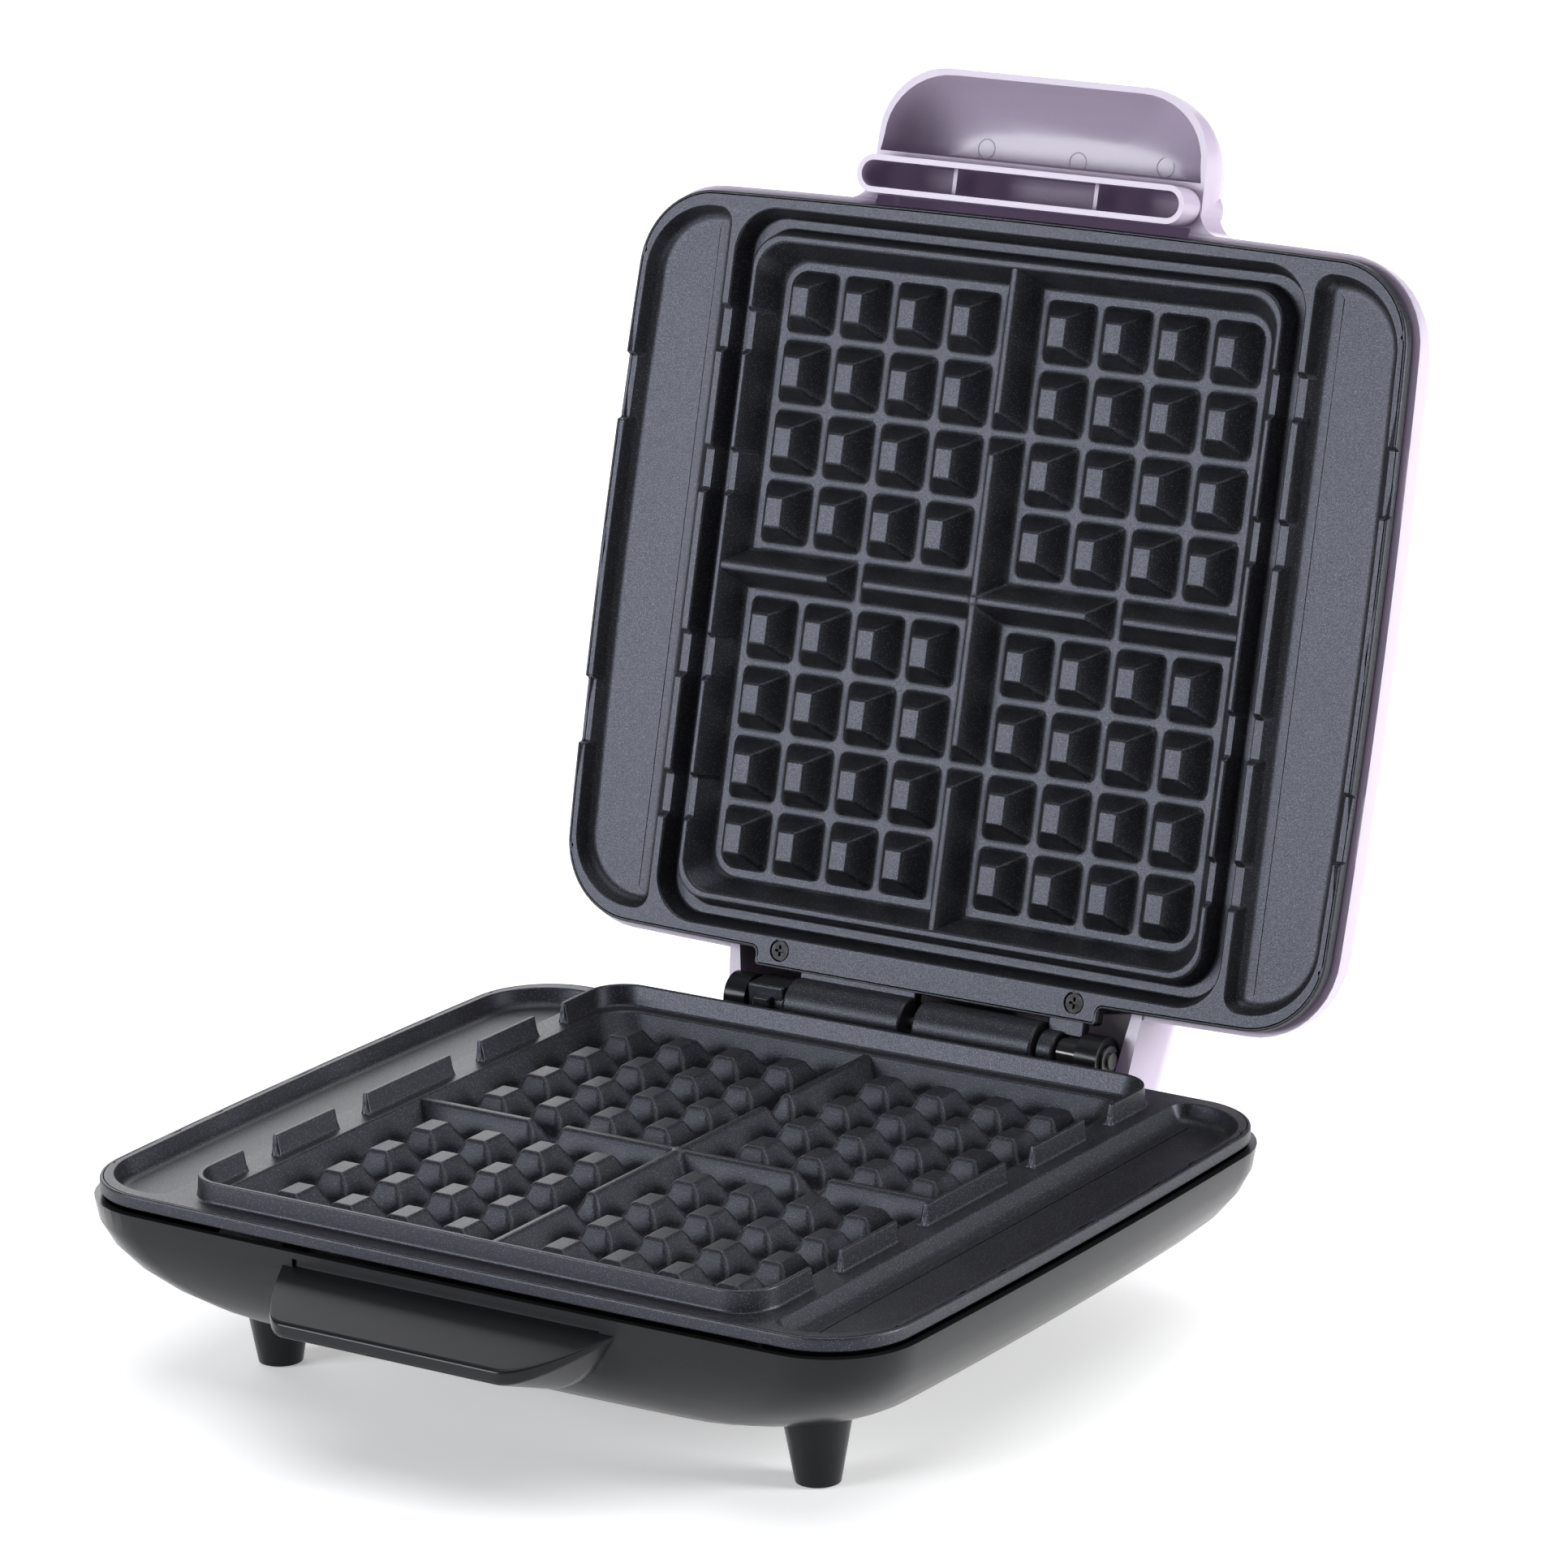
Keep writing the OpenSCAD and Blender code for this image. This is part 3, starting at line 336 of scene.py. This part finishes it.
class Shape:
    """Vertices in millimetres and faces, collected piece by piece."""

    def __init__(self):
        self.points = []
        self.faces = []

    def add_loop(self, loop, z):
        """Adds a loop of vertices at a height, or at one height each, and returns their indices."""
        start = len(self.points)
        heights = z if hasattr(z, "__len__") else [z] * len(loop)
        self.points += [(p[0], p[1], h) for p, h in zip(loop, heights)]
        return list(range(start, len(self.points)))

    def bridge(self, first, second, closed=True):
        """Quads between two equally long rows of vertices."""
        count = len(first)
        for i in range(count if closed else count - 1):
            j = (i + 1) % count
            self.faces.append((first[i], first[j], second[j], second[i]))

    def skin(self, rows, closed=True):
        for first, second in zip(rows, rows[1:]):
            self.bridge(first, second, closed)

    def cap(self, row):
        self.faces.append(tuple(row))

    def fill_between(self, outer, holes):
        """Triangles between an outer loop and the holes in it, seen from above."""
        indices = list(outer) + [i for hole in holes for i in hole]
        flat = [Vector(self.points[i][:2]) for i in indices]
        edges = []
        start = 0
        for loop in [outer] + holes:
            edges += [(start + i, start + (i + 1) % len(loop)) for i in range(len(loop))]
            start += len(loop)
        result = delaunay_2d_cdt(flat, edges, [], 0, 1e-5)
        back = []
        for point, origin in zip(result[0], result[3]):
            back.append(indices[origin[0]] if origin else self.add_loop([point], 0.0)[0])
        borders = [[self.points[i][:2] for i in loop] for loop in [outer] + holes]
        for face in result[2]:
            middle = sum((result[0][i] for i in face), Vector((0, 0))) / len(face)
            if inside(middle, borders[0]) and not any(inside(middle, hole) for hole in borders[1:]):
                self.faces.append(tuple(back[i] for i in face))

    def build(self, name, place, material, body, smooth=True):
        """Makes the object in its place, riding on a body, with weighted smooth shading."""
        mesh = bpy.data.meshes.new(name)
        corners = np.array(self.points) * MM
        turn = np.array(place)
        mesh.from_pydata((corners @ turn[:3, :3].T + turn[:3, 3]).tolist(), [], self.faces)
        mesh.validate()
        mesh.materials.append(material)
        mesh.polygons.foreach_set("use_smooth", [smooth] * len(mesh.polygons))
        piece = bpy.data.objects.new(name, mesh)
        bpy.context.scene.collection.objects.link(piece)
        if smooth:
            piece.modifiers.new("even", "WEIGHTED_NORMAL")
        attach(piece, body)
        return piece


def inside(point, loop):
    """True where a point lies inside a closed loop, by counting crossings."""
    x, y = point
    odd = False
    for (x1, y1), (x2, y2) in zip(loop, loop[1:] + [loop[0]]):
        if (y1 > y) != (y2 > y) and x < x1 + (y - y1) * (x2 - x1) / (y2 - y1):
            odd = not odd
    return odd


# ------------------------------------------------------------------ cooking plates
# A plate is made with its cooking face up, its land at Z = 0 and its hinge towards -Y, in millimetres.

MOULD_DEPTH = 8.8
PITCH_X = 19.0
PITCH_Y = 21.32
FIRST_X = 16.6
FIRST_Y = 17.76
STUD_HALF = (7.95, 9.1)
STUD_TOP = (3.15, 4.65)
STUD_HEIGHT = 8.2
STUD_CORNER = 2.3
OUTER_STUD_CORNER = 5.5
RIDGE_HALF = 5.6
RIDGE_TOP = 1.2
RIDGE_HEIGHT = 8.5
RIDGE_GAP = 1.5
GAP_X = 45.1
GAP_Y = 49.74
FLOOR_X = 89.5
FLOOR_Y = 98.8

PLATE_X = 133.8
PLATE_Y = 113.5
PLATE_CORNER = 25.0
PLATE_BOW_X = 2.36
PLATE_BOW_Y = 1.8
RIM_HEIGHT = 3.9
TAB_X = 60.0
TAB_Y = -118.4
TRAY_INNER = 100.8
TRAY_OUTER = 131.0
TRAY_HALF_Y = 107.5
TRAY_DEPTH = 5.2
GROOVE_DEPTH = 6.8
WALL_HEIGHT = 6.0

# Notches lie in bands of x. Each has its rows in y, its half length at the floor and at the top, and a depth.
NOTCH_ROWS = (28.3, 71.2)
LIP_BAND = (88.0, 102.0)
NOTCH_HALF = (5.9, 7.35)
NOTCH_DEPTH = 2.3
RIM_NOTCH = 50.0
RIM_BAND = 127.5
RIM_NOTCH_HALF = (9.6, 10.4)
RIM_NOTCH_DEPTH = 2.2
WALL_BAND = (91.0, 97.5)
WALL_GAP_HALF = (7.0, 7.7)
FRONT_X = (0, 12, 24, 36, 48, 58, 68)


def stud_centres(first, pitch):
    return [first + pitch * i for i in range(4)]


def grid_lines(first, pitch, half, top, reach):
    """Grid lines of the pattern, dense where a stud or ridge changes slope."""
    steps = [0, top - 0.7, top - 0.3, top + 0.1, top + 0.6]
    steps += [top + (half - top) * k / 6 for k in (2, 3, 4)]
    steps += [half - 0.8, half - 0.35, half + 0.1, half + 0.6, pitch / 2]
    ridge = [0, RIDGE_TOP - 0.4, RIDGE_TOP, RIDGE_TOP + 0.5, 2.6, 3.5, 4.4, RIDGE_HALF - 0.5, RIDGE_HALF]
    lines = set(round(v, 3) for v in ridge + [RIDGE_HALF + 0.6, reach])
    for centre in stud_centres(first, pitch):
        lines |= set(round(centre + s * v, 3) for v in steps for s in (-1, 1))
    lines = sorted(v for v in lines if v <= reach)
    return np.array([-v for v in reversed(lines[1:])] + lines)


def stud_rise(x, y):
    """Height of the studs at each point as a fraction of a full stud."""
    ax, ay = np.abs(x), np.abs(y)
    column = np.clip(np.round((ax - FIRST_X) / PITCH_X), 0, 3)
    row = np.clip(np.round((ay - FIRST_Y) / PITCH_Y), 0, 3)
    lx = ax - (FIRST_X + column * PITCH_X)
    ly = ay - (FIRST_Y + row * PITCH_Y)
    run_x = STUD_HALF[0] - STUD_TOP[0]
    run_y = STUD_HALF[1] - STUD_TOP[1]
    dx = (STUD_HALF[0] - np.abs(lx)) / run_x
    dy = (STUD_HALF[1] - np.abs(ly)) / run_y
    outer = (column == 3) & (row == 3) & (lx > 0) & (ly > 0)
    round_by = np.where(outer, OUTER_STUD_CORNER, STUD_CORNER) / run_x
    in_corner = (dx < round_by) & (dy < round_by)
    rounded = round_by - np.hypot(round_by - dx, round_by - dy)
    rise = np.where(in_corner, rounded, smooth_min(dx, dy, 0.14))
    return smooth_min(rise, 1.0, 0.12)


def ridge_rise(along, across, gap_at):
    """Height of one ridge at each point as a fraction of a full ridge, with its two small channels."""
    slope = RIDGE_HALF - RIDGE_TOP
    flank = (RIDGE_HALF - np.abs(across)) / slope
    channel = (np.abs(np.abs(along) - gap_at) - RIDGE_GAP) / slope
    return smooth_min(smooth_min(flank, channel, 0.14), 1.0, 0.12)


def add_pattern(shape):
    """Floor of the mould with its studs and the cross of ridges, as one height field."""
    xs = grid_lines(FIRST_X, PITCH_X, STUD_HALF[0], STUD_TOP[0], FLOOR_X)
    ys = grid_lines(FIRST_Y, PITCH_Y, STUD_HALF[1], STUD_TOP[1], FLOOR_Y)
    x, y = np.meshgrid(xs, ys)
    studs = stud_rise(x, y) * STUD_HEIGHT
    ridges = smooth_max(ridge_rise(x, y, GAP_X), ridge_rise(y, x, GAP_Y), 0.14) * RIDGE_HEIGHT
    height = smooth_max(np.maximum(studs, ridges), 0.0, 1.5) - MOULD_DEPTH
    rows = [shape.add_loop([(v, row_y) for v in xs], list(row)) for row_y, row in zip(ys, height)]
    shape.skin(rows, closed=False)


def notch_columns(rows, half_lengths):
    """Places along a side where a notch starts, slopes and ends."""
    return [row + s * half for row in rows for half in half_lengths for s in (-1, 1)]


WALL_Y = sorted(set([0, 10, 43, 50, 57, 84] + list(NOTCH_ROWS)
                    + notch_columns(NOTCH_ROWS, (5.5, 5.9, 6.6, 7.0, 7.35, 7.7, 8.1))))
RIM_Y = sorted([0, 15, 28, 50, 72, 80] + notch_columns([RIM_NOTCH], (9.2, 9.6, 10.4, 10.8)))


def notch_floor(y, rows, half_low, half_high, low, high):
    """Height of a castellation at a place along the side: low in a notch, high outside, sloped between."""
    gap = min(abs(abs(y) - row) for row in rows)
    return low + (high - low) * min(max((gap - half_low) / (half_high - half_low), 0), 1)


def upper_land(x, y, z):
    """Steam notches of the upper plate in the lip, the inner strip and the rim."""
    if LIP_BAND[0] < abs(x) < LIP_BAND[1]:
        return min(z, notch_floor(y, NOTCH_ROWS, *NOTCH_HALF, -NOTCH_DEPTH, 0.0))
    if abs(x) > RIM_BAND:
        return min(z, notch_floor(y, [RIM_NOTCH], *RIM_NOTCH_HALF, -RIM_NOTCH_DEPTH, 0.0))
    return z


def lower_land(x, y, z):
    """Gaps in the wall of the lower plate."""
    if WALL_BAND[0] < abs(x) < WALL_BAND[1]:
        return min(z, notch_floor(y, NOTCH_ROWS, *WALL_GAP_HALF, 0.0, WALL_HEIGHT))
    return z


# Rows across the edge of the mould: half width, half depth, corner radius, height, rounding
MOULD_EDGE = [(81.5, 91.1, 6.5, -8.75, 0), (84.7, 94.3, 9, -8.78, 1.6), (89.7, 99.0, 10, 0, 0.8)]
UPPER_EDGE = MOULD_EDGE + [
    (91.4, 101.2, 10, 0, 0.8),
    (93.2, 103.0, 12, -GROOVE_DEPTH, 0.8), (95.9, 106.3, 11.5, -GROOVE_DEPTH, 0.8), (98.3, 108.7, 14, 0, 0.8),
    (99.3, 109.7, 14.6, 0, 0)
]
LOWER_EDGE = MOULD_EDGE + [
    (92.9, 102.8, 10.5, 0, 0.9),
    (94.2, 104.5, 10.5, WALL_HEIGHT, 0.5), (95.5, 105.8, 11.8, WALL_HEIGHT, 0.5), (95.85, 106.2, 12, 0, 0.9),
    (97.2, 107.5, 13, 0, 0)
]


def add_edge(shape, corners, land):
    """Wall of the mould and all that surrounds it up to the land. Returns the outermost row."""
    rows = []
    for half_x, half_y, radius, z in soften(corners):
        loop = four_quarters(rounded_quarter(half_x, half_y, radius, WALL_Y, FRONT_X))
        rows.append(shape.add_loop(loop, [land(px, py, z) for px, py in loop]))
    shape.skin([row[::-1] for row in rows])
    return rows[-1]


def tray_loop(side, shrink):
    """Outline of a side channel at an inset; side is +1 or -1."""
    outer, half_y, inner = TRAY_OUTER - shrink, TRAY_HALF_Y - shrink, TRAY_INNER + shrink
    big = PLATE_CORNER - 3 - shrink
    small = max(5.0 - shrink, 0.6)
    upper = [(outer - PLATE_BOW_X * (y / half_y) ** 2, y) for y in RIM_Y]
    upper += arc(outer - big - 1.4, half_y - big, big, 0, 90, 12)
    upper += arc(inner + small, half_y - small, small, 90, 180, 6)
    upper += [(inner, y) for y in reversed(WALL_Y)]
    lower = [(x, -y) for x, y in reversed(upper[1:-1])]
    loop = [(side * x, y) for x, y in upper + lower]
    return loop if side > 0 else loop[::-1]


def add_tray(shape, side, land):
    """Side channel: rounded edge, sloped wall and flat floor. Returns its top row."""
    rows = []
    for shrink, z in soften([(-0.5, 0, 0), (0, 0, 0.5), (2.4, -TRAY_DEPTH, 2.0), (6.5, -TRAY_DEPTH, 0)]):
        loop = tray_loop(side, shrink)
        rows.append(shape.add_loop(loop, [land(px, py, z) for px, py in loop]))
    shape.skin(rows)
    shape.cap(rows[-1])
    return rows[0]


def plate_outline():
    """Outer edge of a plate: bowed rounded rectangle with the hinge tab at -Y."""
    quarter = rounded_quarter(PLATE_X, PLATE_Y, PLATE_CORNER, RIM_Y, (0, 20, 40, 62, 66, 80, 95),
                              PLATE_BOW_X, PLATE_BOW_Y, 16)
    loop = four_quarters(quarter)
    first = next(i for i, p in enumerate(loop) if p[1] < 0 and -TAB_X - 3 < p[0] < 0)
    last = max(i for i, p in enumerate(loop) if p[1] < 0 and 0 < p[0] < TAB_X + 3)
    root_y = loop[first][1]
    tab = [(-TAB_X - 1.2, root_y), (-TAB_X - 0.4, root_y - 0.4), (-TAB_X, root_y - 1.2)]
    tab += arc(-TAB_X + 1.5, TAB_Y + 1.5, 1.5, 180, 270, 5)
    tab += [(x, TAB_Y) for x in (-43, -2, 40)]
    tab += [(-x, y) for x, y in reversed(tab[:9])]
    return loop[:first + 1] + tab + loop[last:]


def add_rim(shape, land):
    """Rounded outer edge, side band and the narrow strip under it. Returns its innermost top row."""
    outline = plate_outline()
    rows = []
    profile = soften([(1.2, 0, 0), (0, 0, 0.9), (0, -RIM_HEIGHT, 0.5), (4, -RIM_HEIGHT, 0)])
    for shrink, z in profile:
        loop = inset(outline, shrink)
        rows.append(shape.add_loop(loop, [land(px, py, z) for px, py in loop]))
    shape.skin([row[::-1] for row in rows][::-1])
    return rows[0]


HINGE_Y = -127.7
BARREL = (-43.2, -2.2, 8.2)
FINGER = (43.8, 49.6, 6.2)
FLANGE_END = 56.0
WEB_Y = (HINGE_Y + 5, TAB_Y + 3)
WEB_Z = (-RIM_HEIGHT, -0.05)
BARREL_SIDES = 40
PIN_RADIUS = 2.55
SCREW_X = 51.5
SCREW_Y = -112.8
SCREW_RECESS = 3.25


def circle(x, y, radius, count):
    return [(x + radius * math.cos(2 * math.pi * i / count), y + radius * math.sin(2 * math.pi * i / count))
            for i in range(count)]


def add_recess(shape, x):
    """Sunk seat of a screw head in the tab. Returns its top row."""
    rows = []
    for radius, z in soften([(0.35, 0, 0), (0, 0, 0.3), (0, -2.0, 0.2), (-1.4, -2.0, 0)], 3):
        rows.append(shape.add_loop(circle(x, SCREW_Y, SCREW_RECESS + radius, 28), z))
    shape.skin(rows)
    shape.cap(rows[-1])
    return rows[0]


def add_barrel(shape, start, end, radius, axis_z):
    """A knuckle of the hinge round the pin, with softened edges."""
    rows = []
    section = [(start, PIN_RADIUS, 0), (start, radius, 0.9), (end, radius, 0.9), (end, PIN_RADIUS, 0)]
    for x, r in soften(section, 4):
        ring = circle(HINGE_Y, axis_z, r, BARREL_SIDES)
        rows.append(shape.add_loop([(x, y) for y, z in ring], [z for y, z in ring]))
    shape.skin(rows)


def add_block(shape, x0, x1, y0, y1, z0, z1, soft=0.6):
    """A block with softened edges."""
    rows = []
    for shrink, z in ((soft, z0), (0.3 * soft, z0 + 0.3 * soft), (0, z0 + soft),
                      (0, z1 - soft), (0.3 * soft, z1 - 0.3 * soft), (soft, z1)):
        half_x, half_y = (x1 - x0) / 2 - shrink, (y1 - y0) / 2 - shrink
        quarter = rounded_quarter(half_x, half_y, soft, (0,), (0,), steps=4)
        loop = [(x + (x0 + x1) / 2, y + (y0 + y1) / 2) for x, y in four_quarters(quarter)]
        rows.append(shape.add_loop(loop, z))
    shape.skin(rows)
    shape.cap(rows[0][::-1])
    shape.cap(rows[-1])


def add_hinge_side(shape, axis_z):
    """Long barrel and its web on one half, finger and flange on the other."""
    start, end, radius = BARREL
    add_barrel(shape, start, end, radius, axis_z)
    add_block(shape, start, end, *WEB_Y, *WEB_Z)
    start, end, radius = FINGER
    add_barrel(shape, start, end, radius, axis_z)
    add_block(shape, start, FLANGE_END, *WEB_Y, *WEB_Z)


def add_end_block(shape, axis_z):
    """Squared end of the lower casting's knuckle line around the pin, and the lug that carries it."""
    start = FINGER[0]
    add_block(shape, start + 0.3, FLANGE_END + 1.0, HINGE_Y - 5.6, HINGE_Y + 5.8,
              axis_z - 5.8, axis_z + 6.4, 0.9)
    add_block(shape, start + 4.0, FLANGE_END - 2.5, HINGE_Y + 4.0, TAB_Y - 0.6,
              -RIM_HEIGHT, axis_z + 3.2, 0.6)


def make_plate(name, edge, land, place, body, axis_z, end_block=False):
    shape = Shape()
    add_pattern(shape)
    mould = add_edge(shape, edge, land)
    trays = [add_tray(shape, side, land) for side in (1, -1)]
    recesses = [add_recess(shape, side * SCREW_X) for side in (1, -1)]
    rim = add_rim(shape, land)
    shape.fill_between(rim, [mould] + trays + recesses)
    add_hinge_side(shape, axis_z)
    if end_block:
        add_end_block(shape, axis_z)
    return shape.build(name, place, coated, body)


# ------------------------------------------------------------------ front ledge of the base
# Drawn around the centre of the waffle pattern, Z above the worktop, in millimetres.

LEDGE_WALL = -113.2
LEDGE_FRONT = -138.6
LEDGE_TOP = 49.5
LEDGE_FALL = 6.5
LEDGE_LIP = 3.2
LEDGE_WEB = 9.2
LEDGE_LEFT = (-55.0, -38.0)
LEDGE_RIGHT = (33.0, 56.0)
LEDGE_STEPS = 90


def ease(t):
    t = min(max(t, 0.0), 1.0)
    return t * t * (3 - 2 * t)


def ledge_reach(x):
    """How far the ledge stands out at a place along the front, from 0 at its ends to 1."""
    left = ease((x - LEDGE_LEFT[0]) / (LEDGE_LEFT[1] - LEDGE_LEFT[0]))
    right = ease((LEDGE_RIGHT[1] - x) / (LEDGE_RIGHT[1] - LEDGE_RIGHT[0]))
    return math.sqrt(min(left, right))


def ledge_profile(out):
    """Section of the ledge from the slot over the lip and back under it, for a reach from 0 to 1."""
    front = LEDGE_WALL + (LEDGE_FRONT - LEDGE_WALL) * out
    top = LEDGE_TOP - LEDGE_FALL * out
    bottom = top - LEDGE_LIP * out - 0.9
    root = bottom - LEDGE_WEB * out
    return soften([
        (LEDGE_WALL + 5.0, LEDGE_TOP, 0), (LEDGE_WALL - 0.5, LEDGE_TOP, 3.0 * out + 0.2),
        (front, top, 1.2 * out + 0.1), (front + 0.3 * out, bottom, 1.2 * out + 0.1),
        (LEDGE_WALL - 0.3, root, 2.5), (LEDGE_WALL + 6.0, root - 0.5, 0)
    ], 5)


def make_ledge():
    """Smooth skin over the front ledge, with ends that sweep back into the wall of the base."""
    shape = Shape()
    left, right = LEDGE_LEFT[0] - 0.5, LEDGE_RIGHT[1] + 0.5
    rows = []
    for i in range(LEDGE_STEPS + 1):
        x = left + (right - left) * i / LEDGE_STEPS
        profile = ledge_profile(ledge_reach(x))
        rows.append(shape.add_loop([(x, y) for y, z in profile], [z for y, z in profile]))
    shape.skin(rows, closed=False)
    place = Matrix.Translation((0, HINGE_AT.y + HINGE_Y * MM, 0))
    return shape.build("ledge_skin", place, black, "base")


# ------------------------------------------------------------------ lid grip details
# Drawn in the frame of the closed lid: Z is the depth above the land of the upper plate, in millimetres.

SCOOP_FLOOR = 23.9
EJECTOR_RADIUS = 2.9
EJECTOR_AT = ((-29.0, -134.0), (3.0, -132.8), (33.0, -134.0))
EJECTOR_GROOVE = [(0.2, 0.02, 0), (0.08, -0.12, 0.05), (-0.08, -0.12, 0.05), (-0.2, 0.02, 0)]


def make_ejector_marks():
    """Three faint round witness marks on the floor of the finger scoop."""
    shape = Shape()
    for x, y in EJECTOR_AT:
        rows = []
        for r, z in soften(EJECTOR_GROOVE, 2):
            rows.append(shape.add_loop(circle(x, y, EJECTOR_RADIUS + r, 32), SCOOP_FLOOR + z + 0.02))
        shape.skin(rows[::-1])
    return shape.build("ejector_marks", LID, lilac, "lid")


# ------------------------------------------------------------------ the scene

add_camera()
add_world((0.93, 0.95, 1.0), 0.12)
add_softbox("key", (-1.62, -2.66, 0.85), (0, 0.06, 0.2), 1.6, 1.0, 78, (0.95, 0.96, 1.0))
add_softbox("top", (0.4, 0.4, 4.0), (0, 0.4, 0.0), 5.0, 5.0, 150)
add_softbox("back", (-2.6, 2.6, 1.7), (-0.1, -0.1, 0.05), 5.0, 2.6, 105)
add_softbox("side", (2.3, 0.75, 0.75), (0.1, 0.1, 0.2), 0.9, 1.2, 70)

bpy.ops.mesh.primitive_grid_add(x_subdivisions=8, y_subdivisions=8, size=16)
floor = bpy.context.object
floor.name = "floor"
floor.data.materials.append(paper("paper"))

coated = non_stick("coated_casting")
lilac = moulded_plastic("lilac_plastic", (0.39, 0.335, 0.43), (0.385, 0.33, 0.425), 0.28, 0.6, 0.03)
# Painted shade in the wider hollows of the lilac plastic, such as the walls of the finger scoop.
paint_hollow_shade(lilac, (0.18, 0.135, 0.21), 0.035, 0.12, 0.44)
# Painted shade and a painted glow in the narrow closed pockets of the lilac plastic.
paint_hollow_shade(lilac, (0.045, 0.032, 0.055), 0.010, 0.40, 0.68, painted_glow=(0.055, 0.038, 0.068))
black = moulded_plastic(
    "black_plastic", (0.0085, 0.0088, 0.0098), (0.009, 0.0093, 0.0103), 0.24, 0.4, 0.05, ior=1.40
)
set_tint(black, (0.52, 0.53, 0.56))
gloss_black = moulded_plastic("black_gloss", (0.012, 0.012, 0.013), (0.016, 0.016, 0.018), 0.14, 0.5, 0.1)
rubber = matt("rubber", (0.022, 0.022, 0.023), 0.7)
ceramic = matt("ceramic", (0.8, 0.79, 0.74), 0.6)
nylon = matt("nylon", (0.78, 0.76, 0.7), 0.45)
sleeving = matt("sleeving", (0.55, 0.2, 0.12), 0.75, 900.0)
zinc = worn_metal("zinc_steel", (0.6, 0.6, 0.61), 0.32, 300.0)
screw_steel = worn_metal("screw_steel", (0.035, 0.035, 0.038), 0.5, 500.0)
pin_steel = worn_metal("pin_steel", (0.12, 0.12, 0.125), 0.4, 500.0)
heater_steel = worn_metal("heater_steel", (0.3, 0.28, 0.26), 0.45, 240.0)
dull_sheet = worn_metal("dull_sheet", (0.13, 0.13, 0.135), 0.55, 90.0)
brass = worn_metal("brass", (0.72, 0.55, 0.25), 0.3, 300.0)
lamp = moulded_plastic("lamp_glass", (0.8, 0.42, 0.25), (0.75, 0.38, 0.22), 0.1, 2.0, 0.02)
lens = moulded_plastic("lens_red", (0.6, 0.03, 0.02), (0.55, 0.02, 0.02), 0.12, 2.0, 0.02)

LOOKS = {
    "lid_shell": lilac, "base_shell": black, "foot_pads": rubber, "cord_gland": rubber,
    "hinge_pin": pin_steel, "hinge_clips": pin_steel, "hinge_sleeve": gloss_black,
    "lower_plate_screws": screw_steel, "upper_plate_screws": screw_steel,
    "lower_element": heater_steel, "upper_element": heater_steel,
    "lower_element_insulators": ceramic, "upper_element_insulators": ceramic,
    "lower_element_clamps": zinc, "upper_element_clamps": zinc,
    "lower_heat_shield": dull_sheet, "upper_heat_shield": dull_sheet,
    "thermostat": ceramic, "thermostat_bracket": zinc, "thermal_fuse": dull_sheet,
    "terminal_block": nylon, "lamp_holder": nylon, "earth_tag": brass,
    "base_wires": sleeving, "lid_wires": sleeving, "neon_lamps": lamp, "lamp_lenses": lens,
}
for node, material in LOOKS.items():
    dress(node, material)

HINGE_RISE = 0.5 * MM
LID_GAP = 0.4 * MM
LAND_Z = HINGE_AT.z - HINGE_RISE
LID = (
    Matrix.Translation(HINGE_AT) @ Matrix.Rotation(-OPEN_ANGLE, 4, "X")
    @ Matrix.Translation((0, HINGE_Y * MM, LID_GAP - HINGE_RISE))
)
UPPER = LID @ Matrix.Rotation(math.pi, 4, "X")
LOWER = Matrix.Translation((0, HINGE_AT.y + HINGE_Y * MM, LAND_Z)) @ Matrix.Rotation(math.pi, 4, "Z")
upper_casting = make_plate("upper_casting", UPPER_EDGE, upper_land, UPPER, "lid", -0.1)
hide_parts("upper_plate")
lower_casting = make_plate("lower_casting", LOWER_EDGE, lower_land, LOWER, "base", 0.5, end_block=True)
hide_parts("lower_plate")
make_ledge()
make_ejector_marks()
